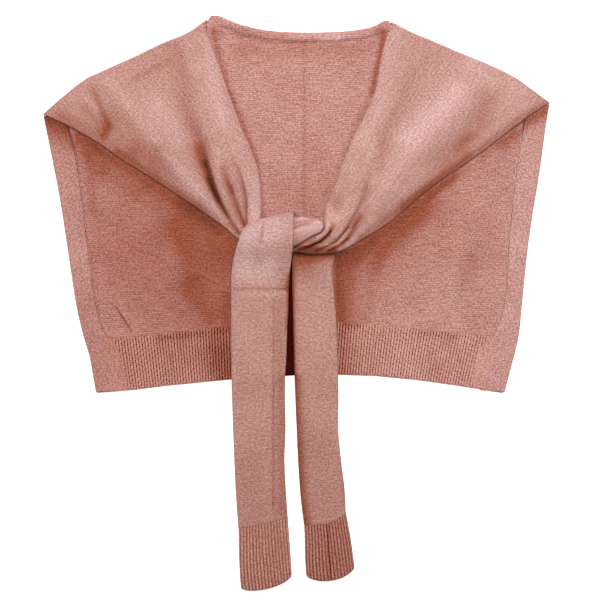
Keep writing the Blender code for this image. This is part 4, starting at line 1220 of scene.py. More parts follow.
    def build(self, materials: dict[str, bpy.types.Material]) -> bpy.types.Object:
        """Its upper face is the height at which it lies, plus one cloth, plus the rise of its folds
        over the flap, plus the knot's heap, which drops at the bundle's edges. A trough that would
        go below that flattens out as half the sum of its height and the root of its square plus
        the ease. Its lower face is one cloth below it and never lower than where it lies.

        Args:
            materials: Materials by slot.

        Returns:
            The piece.
        """
        x, y, u, v = self.grid()
        envelope = np.interp(v, *np.transpose(self.rise)) * np.clip(4.0 * u * (1.0 - u), 0.0, 1.0) ** 0.7
        at_edge = 1.0 - smooth_step(np.minimum(u, 1.0 - u), 0.0, self.edge_width)
        heap = self.layout.heap(x, y) * (1.0 - at_edge * np.interp(v, *np.transpose(self.edges_drop)))
        lies = self.rest(x, y)
        rising = 1.0 - smooth_step(v, *self.rise_ends)
        raised = heap + envelope * rising + self.uneven[0] * unevenness(x, y, self.uneven[1])
        # Painted shade and light from its shade lines and in its creases.
        tone = shade(x, y, self.shades)
        for crease in self.creases:
            depth, crease_shade = crease.press(x, y)
            raised = raised - depth
            tone = tone + crease_shade
        raised = 0.5 * (raised + np.sqrt(raised**2 + self.ease))
        width = np.hypot(x[:, -1] - x[:, 0], y[:, -1] - y[:, 0])[:, None]
        from_edge = np.minimum(u, 1.0 - u) * np.maximum(width, 5.0)
        edge = self.thin_edge + (1.0 - self.thin_edge) * rounded(from_edge, self.rim)
        # Painted shade along the edges, where the front meets what it lies on.
        tone = tone + self.edge_shade * (1.0 - smooth_step(from_edge, *self.edge_reach))
        from_shoulder = lengths_along(np.dstack([x, y]), 0)
        seam = 1.0 - smooth_step(from_shoulder, 0.8 * self.linked, self.linked)
        seam = seam * (u * width < self.link_width)
        stitches = np.cos(2.0 * np.pi * from_shoulder / self.link_pitch) * seam
        # Painted light on the seam's stitches where they rise, shade where they fall, painted shade on the
        # seam.
        tone = tone + self.link_light_and_shade[0] * stitches + self.link_light_and_shade[1] * seam
        top = (lies + CLOTH * edge + raised + self.link_heights[0] * stitches
               + self.link_heights[1] * seam)
        bottom = np.maximum(top - CLOTH, lies)
        curl_top, curl_bottom = self.shoulder_fold(u[0])
        tone = np.concatenate([np.repeat(tone[:1], len(curl_top), axis=0), tone])
        upper = np.concatenate([curl_top, np.dstack([x, y, top])])
        lower = np.concatenate([curl_bottom, np.dstack([x, y, bottom])])
        lower[..., 2] = np.maximum(np.minimum(lower[..., 2], upper[..., 2] - 0.25), 0.0)
        across = lengths_along(upper, 1)
        across = across - across[:, [across.shape[1] // 2]]
        knit = np.dstack([across, -lengths_along(upper, 0)])
        name = f"front_{self.side.word}"
        piece = Wall(upper, lower, knit, tone).build(f"cloth_{name}", materials[self.finish.slot])
        return declare(piece, name)

    def shoulder_fold(self, u: Array) -> tuple[Array, Array]:
        """The turn of the cloth at the shoulder.

        Args:
            u: Shares along the shoulder's fold.

        Returns:
            Rows of the upper and the lower face, from the surface up round the fold.
        """
        shape = self.layout
        shoulder = shape.shoulder_left if self.side is Side.LEFT else shape.shoulder_right
        line = curve_through(shoulder, u)
        turn = self.side.value
        behind = offset_inward(line, turn * self.curl[-1][2])
        height = self.rest(behind[:, 0], behind[:, 1])
        upper, lower = [], []
        section = curve_through(self.curl, np.linspace(0.0, 1.0, 10))
        for out_inset, out_height, in_inset, in_height in section:
            upper.append(np.column_stack([offset_inward(line, turn * out_inset), out_height * height]))
            lower.append(np.column_stack([offset_inward(line, turn * in_inset), in_height * height]))
        return np.stack(upper), np.stack(lower)


@dataclass
class Tie:
    """A flattened knit tube that hangs from the knot.

    Attributes:
        rows: Stations along it. Columns: left x, y, z, right x, y, z, crown, bow, lean in degrees,
            thickness.
        section: Its section. Columns: place across, top, bottom, as shares of the thickness.
        creases: Folds in its face. Columns: start row, start across, end row, end across, half
            width across, half length in rows, depth.
        shades: Where shade is painted on it, and light where a strength is below 0.
        wall: Thickness of its cloth.
        inner_width: Share of its width that its inner face takes.
        bow_flatness: How square the bow of a row is: 1 for an arch, less for flatter.
        even_share: How even its points are spaced across, the rest lying closer at the edges.
        places: Sections along it.
        points: Points across its upper face.
        flat: Width and length of its cut, in metres. Not used.
        rests_on: What it lies on. Not used.
    """

    name: str
    finish: KnitFinish
    rows: Table
    section: Table = ((0.0, 0.45, 0.45), (0.012, 0.72, 0.2), (0.04, 0.92, 0.05), (0.09, 1.0, 0.0),
                      (0.25, 1.0, 0.0), (0.42, 0.97, 0.0), (0.58, 0.97, 0.0), (0.70, 1.0, 0.0),
                      (0.755, 0.95, 0.0), (0.80, 0.80, 0.0), (0.88, 0.66, 0.0), (0.955, 0.52, 0.03),
                      (0.988, 0.40, 0.1), (1.0, 0.22, 0.22))
    creases: Table = ()
    shades: Table = ()
    wall: float = 1.8
    inner_width: float = 0.955
    bow_flatness: float = 0.65
    even_share: float = 0.55
    places: int = 200
    points: int = 76
    flat: tuple[float, float] = (0.130, 0.42)
    rests_on: tuple[str, ...] = ("cloth_back_panel", "cloth_hem_rib")

    def stations(self) -> tuple[Array, Array]:
        """The rows read off smooth curves at even steps along the tie, and their row numbers."""
        rows = np.asarray(self.rows, float)
        middles = 0.5 * (rows[:, 0:3] + rows[:, 3:6])
        at = lengths_along(middles, 0)
        steps = np.linspace(0.0, at[-1], self.places)
        return read_through(at, rows, steps), np.interp(steps, at, np.arange(len(at)))

    def surface(self, stations: Array, across: Array, heights: Array) -> Array:
        """Points of a face of the tie.

        A point lies on the line between the row's ends, lifted by the crown's arch, moved down
        the tie by the bow, and moved off the line along the row's leaning normal.

        Args:
            stations: Rows along the tie.
            across: Places across, of shape (points,).
            heights: Shares of the thickness, of shape (rows, points).

        Returns:
            Points of shape (rows, points, 3).
        """
        left, right = stations[:, None, 0:3], stations[:, None, 3:6]
        crown, bow, lean, thickness = (stations[:, 6 + k][:, None] for k in range(4))
        points = left + (right - left) * across[None, :, None]
        arch = 4.0 * across * (1.0 - across)
        points[..., 2] += crown * arch
        run = (right - left)[:, 0]
        down = np.stack([run[:, 1], -run[:, 0]], axis=-1) / np.hypot(run[:, 0], run[:, 1])[:, None]
        bowed = bow * np.maximum(arch, 0.0) ** self.bow_flatness
        points[..., :2] -= down[:, None, :] * bowed[..., None]
        slant = np.radians(lean)
        face = np.stack([0.0 * slant, np.sin(slant), np.cos(slant)], axis=-1)
        return points + face * ((heights - 0.5) * thickness)[..., None]

    def faces(self) -> tuple[Array, Array, Array]:
        """The outer and inner faces and their map.

        Each is made of rings from the left edge over the top and back below. A crease dents the
        top by a bell curve across it and past its ends. The inner face's top and bottom never
        meet.

        Returns:
            Points of the outer and inner faces, and the outer face's map with one column more.
        """
        stations, numbers = self.stations()
        row = numbers[:, None]
        section = np.asarray(self.section)
        turn = np.linspace(0.0, np.pi, self.points)
        across = 0.5 * (1.0 - np.cos(turn))
        across = (1.0 - self.even_share) * across + self.even_share * np.linspace(0.0, 1.0, self.points)
        top = read_through(section[:, 0], section[:, 1], across)[None, :]
        below = read_through(section[:, 0], section[:, 2], across)[None, :]
        dented = np.zeros((self.places, self.points))
        for start_row, start, end_row, end, half, reach, depth in self.creases:
            share = np.clip((row - start_row) / (end_row - start_row), 0.0, 1.0)
            off_end = np.maximum(np.maximum(start_row - row, row - end_row), 0.0)
            away = across[None, :] - (start + (end - start) * share)
            dented += depth * np.exp(-(away / half) ** 2 - (off_end / reach) ** 2)
        thick = stations[:, 9][:, None]
        top_heights = top - dented / thick
        wall = self.wall / thick
        middle = 0.5 * (top_heights + below)
        roof = np.maximum(top_heights - wall, middle + 0.02)
        floor = np.minimum(below + wall, middle - 0.02)
        outer = np.concatenate([self.surface(stations, across, top_heights),
                                self.surface(stations, across, below + 0.0 * row)[:, -2:0:-1]], axis=1)
        inset = 0.5 + (across - 0.5) * self.inner_width
        inner = np.concatenate([self.surface(stations, inset, roof),
                                self.surface(stations, inset, floor)[:, -2:0:-1]], axis=1)
        ring = np.concatenate([outer, outer[:, :1]], axis=1)
        knit = np.dstack([lengths_along(ring, 1), -lengths_along(ring, 0)])
        return outer, inner, knit

    def painted_lights(self, outer: Array, knit: Array) -> Array:
        """How much shade is painted at each point of the outer face, whose map is given too."""
        return shade(outer[..., 0], outer[..., 1], self.shades)

    def build(self, materials: dict[str, bpy.types.Material]) -> bpy.types.Object:
        """Args:
            materials: Materials by slot.

        Returns:
            The piece.
        """
        outer, inner, knit = self.faces()
        outer[..., 2] = np.maximum(outer[..., 2], 0.0)
        wall = Wall(outer, inner, knit, self.painted_lights(outer, knit), closed=True)
        piece = wall.build(f"cloth_{self.name}", materials[self.finish.slot])
        return declare(piece, self.name)


@dataclass
class Cuff(Tie):
    """A ribbed cuff: a short tie whose face is raised in ribs, open at its end.

    Attributes:
        ribs: Ribs all round.
        rib_height: Height of a rib.
        pitch: Width of a rib.
        groove_shade: How much shade is painted between two ribs.
        crest_highlight: Shade painted on a rib, below 0 where light is painted instead.
        dash: Length over which a groove opens and closes with the stitches.
        dash_depth: How much it does so.
        sunk: Share of a rib's height that lies below the plain face.
    """

    ribs: int = 34
    rib_height: float = 0.8
    pitch: float = 3.5
    groove_shade: float = 2.2
    crest_highlight: float = -0.35
    dash: float = 6.2
    dash_depth: float = 0.22
    sunk: float = 0.6
    places: int = 34
    points: int = 153
    rests_on: tuple[str, ...] = ()

    def faces(self) -> tuple[Array, Array, Array]:
        """The tie's faces with ribs: the square root of a half sine round the outer face."""
        outer, inner, knit = super().faces()
        circumference = knit[:, -1:, 0]
        share = knit[:, :-1, 0] / circumference
        section = np.sqrt(np.abs(np.sin(np.pi * self.ribs * share)))
        normal = np.roll(outer, -1, axis=1) - np.roll(outer, 1, axis=1)
        normal = np.stack([-normal[..., 2], 0.0 * normal[..., 2], normal[..., 0]], axis=-1)
        normal /= np.maximum(np.linalg.norm(normal, axis=-1), 1e-6)[..., None]
        along = np.linspace(0.0, 1.0, self.places)[:, None]
        ends = smooth_step(along, 0.0, 0.04) * (1.0 - smooth_step(along, 0.975, 1.0))
        outer = outer + normal * (self.rib_height * (section - self.sunk) * ends)[..., None]
        around = np.concatenate([share, np.ones_like(circumference)], axis=1) * self.ribs * self.pitch
        return outer, inner, np.dstack([around, knit[..., 1]])

    def painted_lights(self, outer: Array, knit: Array) -> Array:
        """How much shade is painted: between two ribs, in dashes as long as their stitches, and light on the
        crests.
        """
        rib = knit[:, :-1, 0] / self.pitch
        section = np.sqrt(np.abs(np.sin(np.pi * rib)))
        dashes = in_dashes(knit[:, :-1, 1], rib, self.dash, self.dash_depth)
        # Painted shade in the grooves, painted light on the crests.
        groove = self.groove_shade * (1.0 - section) * dashes
        return super().painted_lights(outer, knit) + groove + self.crest_highlight * section


def declare(piece: bpy.types.Object, node: str) -> bpy.types.Object:
    """Joins a piece to the frame, hides the imported part that it stands for and logs its number of faces.

    Args:
        piece: The finished piece.
        node: The node that it stands for.

    Returns:
        The piece.
    """
    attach(piece, "root")
    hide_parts(node)
    log.info("%s: %d faces", piece.name, len(piece.data.polygons))
    return piece


@dataclass
class Studio:
    """The pale floor, the soft light from beyond the neck and the camera straight above.

    Attributes:
        centre: Where the camera looks, in millimetres.
        span: Width of the view at the wrap's height, in millimetres.
        distance: Height of the camera, in metres.
        sensor: Width of its sensor, in millimetres.
        wrap_height: Mean height of the wrap's face, in metres.
        sky: Strength of the even light from all round.
        lamps: Soft boxes. Columns: x, y, z and width in metres, power in watts.
        floor_half: Half the floor's width, in metres.
        floor_drop: Depth of the floor below the wrap, in metres.
        glow: Light that the floor gives off.
    """

    centre: tuple[float, float] = (4.38, 3.6)
    span: float = 720.0
    distance: float = 2.6
    sensor: float = 36.0
    wrap_height: float = 0.004
    sky: float = 0.50
    lamps: Table = ((0.0, 1.35, 2.2, 2.0, 59.0),)
    floor_half: float = 6.0
    floor_drop: float = 0.0004
    glow: float = 0.6

    def build(self) -> None:
        """Builds the floor, the lights and the camera."""
        self.floor()
        world = bpy.data.worlds.new("studio_sky")
        world.use_nodes = True
        background = world.node_tree.nodes["Background"]
        background.inputs["Color"].default_value = (1.0, 0.985, 0.97, 1.0)
        background.inputs["Strength"].default_value = self.sky
        bpy.context.scene.world = world
        for number, (x, y, z, size, watts) in enumerate(self.lamps):
            lamp = bpy.data.lights.new(f"soft_box_{number}", "AREA")
            lamp.shape = "DISK"
            lamp.size = size
            lamp.energy = watts
            holder = bpy.data.objects.new(lamp.name, lamp)
            holder.location = (x, y, z)
            holder.rotation_mode = "QUATERNION"
            holder.rotation_quaternion = holder.location.to_track_quat("Z", "Y")
            bpy.context.collection.objects.link(holder)
        self.camera()
        bpy.context.scene.view_settings.view_transform = "Standard"

    def floor(self) -> None:
        """Builds the pale floor just below the wrap."""
        half = self.floor_half
        mesh = bpy.data.meshes.new("floor")
        corners = [(-half, -half, 0.0), (half, -half, 0.0), (half, half, 0.0), (-half, half, 0.0)]
        mesh.from_pydata(corners, [], [(0, 1, 2, 3)])
        floor = bpy.data.objects.new("floor", mesh)
        floor.location.z = -self.floor_drop
        bpy.context.collection.objects.link(floor)
        material = bpy.data.materials.new("pale_floor")
        material.use_nodes = True
        shader = material.node_tree.nodes["Principled BSDF"]
        shader.inputs["Base Color"].default_value = (0.93, 0.93, 0.93, 1.0)
        shader.inputs["Roughness"].default_value = 0.9
        shader.inputs["Emission Color"].default_value = (1.0, 1.0, 1.0, 1.0)
        shader.inputs["Emission Strength"].default_value = self.glow
        mesh.materials.append(material)

    def camera(self) -> None:
        """Builds the camera, which looks straight down with +Y upwards in the picture."""
        camera = bpy.data.cameras.new("camera")
        camera.sensor_width = self.sensor
        camera.lens = self.sensor * (self.distance - self.wrap_height) / (self.span * MM)
        camera.clip_end = 50.0
        holder = bpy.data.objects.new("camera", camera)
        holder.location = (self.centre[0] * MM, self.centre[1] * MM, self.distance)
        bpy.context.collection.objects.link(holder)
        bpy.context.scene.camera = holder


# One yarn throughout; its mean colour is set piece by piece as painted shade, darker than on the fronts on
# every other piece, most on the panel and the cuffs.
PANEL_KNIT = KnitFinish("panel_knit", (0.525, 0.254, 0.219), face=Face.WRONG, wale=2.6, course=2.3,
                        fleck=1.9, relief=0.4, stitch=0.35, grain=(70.0, 420.0))
RIB_KNIT = KnitFinish("rib_knit", (0.585, 0.273, 0.223), wale=3.52, course=3.1, fleck=1.8)
BAND_KNIT = KnitFinish("band_knit", (0.565, 0.272, 0.232), wale=3.1, course=2.6, fleck=2.6, stitch=1.4)
FRONT_KNIT = KnitFinish("front_knit", (0.625, 0.330, 0.285), fleck=2.5, stitch=1.7)
TIE_KNIT = KnitFinish("tie_knit", (0.575, 0.297, 0.250), fleck=3.1, stitch=2.0, grain=(50.0, 420.0))
CUFF_KNIT = KnitFinish("cuff_knit", (0.52, 0.245, 0.200), wale=3.3, course=3.1, fleck=1.8)

LEFT_FLAP = (((-108.4, 340.6), (-106.5, 322.3), (-98.2, 301.4), (-84.4, 261.8), (-68.9, 219.6),
              (-49.6, 173.5), (-43.7, 151.2), (-42, 128.4), (-41.8, 98)),
             ((-304, 226.6), (-271.9, 211.6), (-236.9, 191.4), (-209.5, 172.1), (-175.6, 151),
              (-139.6, 127.4), (-104.2, 103.9), (-83.9, 88.9), (-70.4, 77)))
LEFT_BUNDLE = (((-41.8, 98), (-36, 95.4), (-22, 95.6), (-8, 102), (0, 105.6), (6, 103.8), (13.5, 101.8),
                (22.7, 101.2), (29.6, 98.6), (32.4, 94)),
               ((-70.4, 77), (-58, 70.5), (-41.2, 67.4), (-20, 66.4), (-4, 66.6), (6, 71.6),
                (11.4, 75.2), (19.8, 80), (28.6, 84.6), (32.4, 90.4)))
RIGHT_FLAP = (((114, 338.4), (102.8, 299.3), (93.9, 253.4), (77, 217), (61.7, 184.8),
               (41.1, 129.6), (35.6, 118.8), (33.6, 107.5)),
              ((304, 240.6), (271.9, 219), (217.9, 177.6), (165.1, 140.9), (124.4, 107.2),
               (104.5, 92), (79.3, 76.9)))
RIGHT_BUNDLE = (((33.6, 107.5), (32.9, 96), (33, 90.1), (29, 84.3), (20, 79.7), (11.6, 74.9),
                 (6.2, 71.3), (-2.4, 65.4), (-7, 64.6)),
                ((79.3, 76.9), (59.1, 65), (47.5, 60.7), (33.8, 58.9), (20, 58.4), (10, 59.4),
                 (2, 61), (-3.4, 62), (-7, 62.2)))
# Each crease's tone is painted shade in its trough, and painted light where it is below 0.
LEFT_CREASES = (
    Crease(((-139.9, 306.2, 9.6, 16.8, 1), (-128.8, 225.6, 9.6, 19.2, 2.5), (-117, 200.4, 6, 17, 4),
            (-108.3, 171, 3.4, 13, 6), (-98.4, 139, 2.8, 9, 6.5), (-89, 116, 2.1, 6, 6.5),
            (-80.6, 100, 1.8, 4, 6), (-69.5, 83.4, 1.8, 3, 5.5)), sharp=1.5, tone=1.25),
    Crease(((-107.2, 193.2, 6, 6, -0.5), (-98.8, 165.6, 6, 6, -1.5), (-89.2, 139.2, 6, 6, -2),
            (-79.6, 114, 4.8, 4.8, -2), (-67.6, 87.6, 3.6, 3.6, -1.5))),
    Crease(((-86.1, 151.2, 3, 7.2, 1), (-77.2, 134.4, 3, 6, 2.5), (-71.2, 116.4, 2.4, 4.8, 3.5),
            (-65.7, 102, 2.4, 3.6, 4), (-62.5, 92.4, 2.4, 3, 4)), sharp=1.4, tone=1.1),
    Crease(((-79.6, 176.4, 1.8, 4.8, 0.6), (-68.8, 159.6, 1.8, 4.8, 1.8), (-62.8, 140.4, 1.8, 4.8, 2.5),
            (-59.8, 123.6, 1.6, 3.4, 2.8), (-59.8, 96, 1.6, 2.6, 2.8)), sharp=1.4, tone=0.9),
    Crease(((-227.2, 267.6, 31.2, 26.4, -2), (-172, 217.2, 28.8, 26.4, -4),
            (-126.4, 165.6, 19.2, 16.8, -4), (-79.6, 104.4, 6, 6, -2))),
    Crease(((-121.6, 306, 9.6, 9.6, -1), (-112, 255.6, 9.6, 9.6, -2), (-101.2, 202.8, 8.4, 8.4, -2))),
    Crease(((-244.4, 256.8, 4.8, 4.8, 0.8), (-236.9, 237.6, 4.8, 4.8, 1.6),
            (-224.1, 212.4, 4.8, 4.8, 1.6), (-231.4, 199.2, 4.8, 4.8, 0.8)), sharp=1.8, tone=0.6),
    Crease(((-251.7, 243.6, 4.8, 4.8, -1.2), (-238.9, 230.9, 4.8, 4.8, -1.6)), tone=-0.3),
    Crease(((-194.8, 267.6, 3.6, 3.6, 0.6), (-175.6, 277.2, 3.6, 3.6, 1.3), (-156.4, 288, 3.6, 3.6, 0.5)),
           tone=0.35),
    Crease(((-2, 96, 1.4, 1.4, 0.8), (10.9, 97.8, 1.4, 1.4, 1), (20.7, 99, 1.4, 1.4, 0.4)),
           sharp=1.6, tone=0.8),
    Crease(((-2, 89.8, 1.4, 1.9, 1.4), (6.5, 93.5, 1.4, 1.9, 1.5), (15.8, 95.3, 1.4, 1.9, 1.2),
            (21.2, 98, 1.4, 1.7, 0.5)), sharp=1.6, tone=1),
)
# Painted shade along the left front's edges and in its valleys; below 0, painted light on its ridges.
LEFT_SHADES = (
    (3, 0.4, -107, 150, -95, 122), (12, 0.6, -285, 224, -235, 197), (11, 0.45, -218, 184, -175, 160),
    (10, 0.35, -162, 151, -115, 119), (14, 0.35, -218, 226, -160, 172), (8, -0.3, -226, 268, -168, 196),
    (7, -0.55, -156, 178, -84, 100), (30, 0.2, -250, 250, -112, 315),
    (9, -0.4, -108, 318, -98, 265, -88, 215), (4, 0.45, -109, 168, -100.5, 139, -91, 118, -81, 104),
    (6, 0.3, -117, 185, -112, 165), (4, 0.35, -108, 195, -101, 172), (14, -0.35, -165, 240, -140, 200),
    (12, 0.3, -190, 183, -160, 168, -138, 154), (12, 0.3, -226, 208, -196, 184),
    (5, 0.5, -215, 181, -176, 155, -140, 131, -104, 108, -84, 93), (5, 0.6, -87, 162, -77, 134),
    (7, -0.5, -49, 150, -48, 104), (9, -0.3, -132, 316, -122, 282), (7, 0.35, -252, 234, -232, 212),
    (4, -0.7, 0, 102, 12, 101), (7, -0.7, 2, 88, 26, 95), (6, -0.5, 16, 86, 34, 94),
)
RIGHT_CREASES = (
    Crease(((165.1, 299.3, 14.4, 9.6, 1), (142.1, 271.8, 14.4, 9.6, 2), (107.6, 202.8, 13.2, 8.4, 3),
            (91.6, 157.2, 10.8, 6, 4), (80, 122.4, 4.8, 3.6, 4.5), (71.6, 106.9, 3.6, 2.4, 4.5),
            (62.3, 91.7, 3, 2.4, 4.2), (58, 84.2, 3, 2.4, 4), (53.7, 78.8, 3, 2.4, 3.8),
            (47.6, 73.3, 3, 2.4, 3.4), (39.1, 67.8, 3, 2.4, 3), (31.7, 64.1, 2.4, 2.4, 2.6),
            (23.1, 62.2, 2.4, 2.4, 2)), sharp=1.4, tone=0.5),
    Crease(((45.2, 92.9, 2.4, 2.4, 1.8), (41.5, 86.8, 2.4, 2.4, 3), (38.5, 81.2, 2.4, 2.4, 3.4),
            (34.1, 76.9, 2.4, 2.4, 3.4), (28.6, 73.3, 2.4, 2.4, 3), (23.1, 70.8, 2.4, 2.4, 3),
            (15.8, 67.2, 2.4, 2.4, 2.4), (8.5, 64.7, 2.4, 2.4, 1.8), (2, 63.6, 2.4, 2.4, 1)),
           sharp=1.4, tone=1.3),
    Crease(((86, 115.2, 6, 4.8, 1.5), (76.4, 102, 6, 4.8, 2.8), (68.5, 90.4, 4.8, 3.6, 3.4),
            (62.3, 77.5, 3.6, 3, 3.4), (56.8, 71.4, 2.4, 2.4, 3.4), (50.7, 67.2, 2.4, 2.4, 3),
            (44.6, 64.1, 2.4, 2.4, 2.4), (37.9, 61.9, 2.4, 2.4, 1.4)), sharp=1.4, tone=1.1),
    Crease(((236, 267.6, 9.6, 12, 2), (222.8, 235.2, 9.6, 12, 2.4), (199.5, 198, 9.6, 12, 2.4),
            (176.6, 180, 9.6, 12, 2), (153.2, 157.2, 7.2, 9.6, 1)), sharp=1.8, tone=0.15),
    Crease(((199.5, 248.8, 24, 12, -3.5), (165.1, 202.8, 21.6, 10.8, -3.5), (119.2, 157.2, 14.4, 7.2, -3),
            (96.2, 134.4, 8.4, 4.8, -2))),
    Crease(((50, 128.4, 6, 6, 1), (48.8, 120, 7.2, 7.2, 2.5), (45.2, 111.6, 6, 6, 1.2)), tone=0.5),
)
# Painted shade in the right front's creases and along its edges; below 0, painted light on its rolls.
RIGHT_SHADES = (
    (2.2, 0.5, -2, 67, 10, 73.5, 22, 78.5), (6, 0.2, 100, 104, 160, 138), (19, -0.75, 190, 250, 140, 202),
    (14, -0.22, 136, 195, 110, 148), (8, -0.4, 110, 142, 84, 110), (6, -0.4, 92, 188, 90, 145),
    (9, 0.35, 205, 177, 130, 119),
    (5, 0.6, 296, 238, 270, 222, 216, 181, 163, 144, 122, 110.5, 102, 95.5, 77, 80),
    (10, 0.35, 246, 262, 232, 240, 216, 205, 196, 186), (17, -0.2, 244, 262, 268, 250),
    (12, -0.4, 210, 288, 238, 266), (12, -0.25, 118, 324, 98, 256), (10, -0.3, 104, 240, 84, 200),
    (12, -0.1, 74, 200, 60, 165), (5, -0.3, 40, 108, 48, 100), (9, 0.35, 206, 199, 172, 166),
    (4, 1, -3, 61.5, 22, 60, 46, 62), (6, 0.7, -4, 66, 12, 67, 24, 64),
    (1.2, 0.8, 41.5, 86.8, 28.6, 73.3, 2, 63.6), (1.2, 0.8, 62.3, 91.7, 47.6, 73.3, 23.1, 62.2),
    (1.2, 0.6, 62.3, 77.5, 37.9, 61.9), (3, -0.4, 36, 100, 36, 92), (1.8, -0.3, 36, 86, 22, 74),
    (2, -0.3, 52, 86, 36, 72), (9, 0.15, 44, 80, 16, 68), (2.4, -0.5, 66, 88, 50, 73),
    (3.4, -0.4, 80, 90, 62, 70),
)
# Painted shade in the panel's small creases, and painted light on one ridge.
PANEL_CREASES = (
    Crease(((-216.4, -3.6, 2.6, 2.6, -0.9), (-198.5, -33, 2.6, 2.6, -0.9))),
    Crease(((-217, -4.5, 1.2, 1.2, 0.6), (-207.5, -19, 1.2, 1.2, 1.1), (-198.5, -33, 1.2, 1.2, 0.8)),
           sharp=1.5, tone=1),
    Crease(((-250, 214, 2.5, 2.5, -0.6), (-240.5, 209, 2.5, 2.5, -0.6)), tone=-0.2),
    Crease(((-246, 209, 2, 2, 0.5), (-238.5, 205, 2, 2, 0.5)), tone=0.3),
)
# Painted shade under the fronts' edges, round the knot, deep between the ties; painted light below 0.
PANEL_SHADES = (
    (7, 0.35, -130, 110, -102, 88), (3.5, 0.5, -252, 197, -240, 190), (3.5, 0.7, 50, 56, 72, 66),
    (2.5, 0.5, 48, 44, 49, 10), (7, 0.2, 160, 132, 186, 143), (29, 0.45, -260, 202, -74, 80),
    (15, 0.3, -262, 190, -235, 165), (8, 0.35, -240, 188, -104, 98),
    (5, 0.3, -258, 196, -218, 172, -178, 147, -142, 123, -106, 100, -76, 76),
    (26, 0.2, -140, 100, -80, 58), (26, 0.35, -94, 58, -77, -32), (15, 0.3, -138, 92, -122, 22),
    (84, 0.62, -200, 64, -128, 4), (14, 0.25, -231, 157, -192, 133), (14, 0.2, -155, 84, -136, 66),
    (12, 0.3, -130, 18, -104, -18), (7, 0.3, -252, 180, -243, 110), (19, 0.2, 82, 70, 232, 175),
    (12, 0.35, 106, 78, 150, 108), (9, 0.6, 282, 214, 250, 190), (5, 0.4, 262, 206, 222, 176),
    (6, 0.4, 205, 164, 168, 136, 127, 102, 82, 71),
    (5, 0.45, 190, 152, 168, 136, 127, 102, 82, 71, 60, 60), (8, 0.65, -137, 120, -92, 88),
    (5, 0.5, -262, 200, -236, 183), (9, 0.85, 54, 50, 72, 58, 91, 72), (12, 0.3, 163, 119, 90, 45),
    (18, 0.85, 62, 49, 58, -26), (5, 0.9, 50, 50, 53, -26), (10, 0.3, 103, 64, 82, -14),
    (34, 0.3, 110, 60, 160, 95), (10, 0.3, 211, 52, 200, 26), (62, 0.1, 148, 40, 190, 60),
    (16, -0.15, 184, 22, 184, 4), (20, 0.15, 220, 120, 236, 60), (1.9, 0.35, 9.2, 313, 9.2, 97),
    (17, 0.15, 24, 184, 19, 118), (7, 9, -6.5, 42, -6.5, -92), (26, 0.2, -20, 140, 10, 120),
    (5, 0.3, -84, -24, -84, 8), (4, 0.7, -100, 326, -84, 262, -48, 172), (3.5, 0.4, -46, 166, -40, 104),
    (4, 0.9, 106, 326, 91, 254), (4, 0.4, 90, 250, 60, 186), (4, 0.3, 58, 180, 35, 128),
    (5, 0.3, -97, 328, -90, 322), (6, 0.5, 100, 326, 92, 318), (6, -0.15, -86, 326, -76, 314),
    (11, 0.3, -76, 306, -30, 303, 86, 308), (1.8, 0.4, -90, 326, -32, 312.6, 10, 312.2),
    (1.8, 0.15, 10, 312.2, 40, 312.2, 91, 321), (4, 0.2, -60, 326, -16, 321),
    (3.6, -0.4, -10, 320, 50, 318.4), (4.6, -0.6, 30, 317, 92, 321),
)
# Painted shade on the rib beside and between the ties and along the seam; painted light below 0.
HEM_SHADES = (
    (14, 0.6, -98, -38, -86, -98), (6, 0.3, -83, -26, -83, -98), (5, 0.5, -96, -33, -80, -31),
    (7, 9, -6.5, -20, -6.5, -92), (5, 0.35, 53, -22, 55, -90), (3.5, 0.5, 58, -26, 78, -27),
    (12, 0.5, 58, -32, 62, -86), (60, -0.22, 130, -60, 230, -68), (48, 0.3, -224, -50, -80, -60),
    (20, 0.2, -120, -60, -92, -65), (5, 0.45, -165, -42, -116, -36), (5, 0.4, 140, -34, 190, -39),
)
# Painted shade on the bands under the fronts' corners; painted light below 0.
BAND_LEFT_SHADES = (
    (4, 0.6, -302, 224, -294, 217), (3.5, 0.6, -273, 207, -262, 202), (17, 0.9, -297, 214, -262, 196),
    (5, 0.9, -304, 224, -262, 204), (5, 0.35, -263, 186, -256, 150), (20, -0.2, -290, 130, -262, 30),
    (60, 0.15, -268, 100, -240, -90),
)
BAND_RIGHT_SHADES = (
    (3.5, 0.6, 270, 212, 258, 206), (8, 0.7, 302, 230, 266, 208), (4, 0.4, 302, 235, 262, 209),
    (60, -0.45, 284, 150, 262, -90),
)
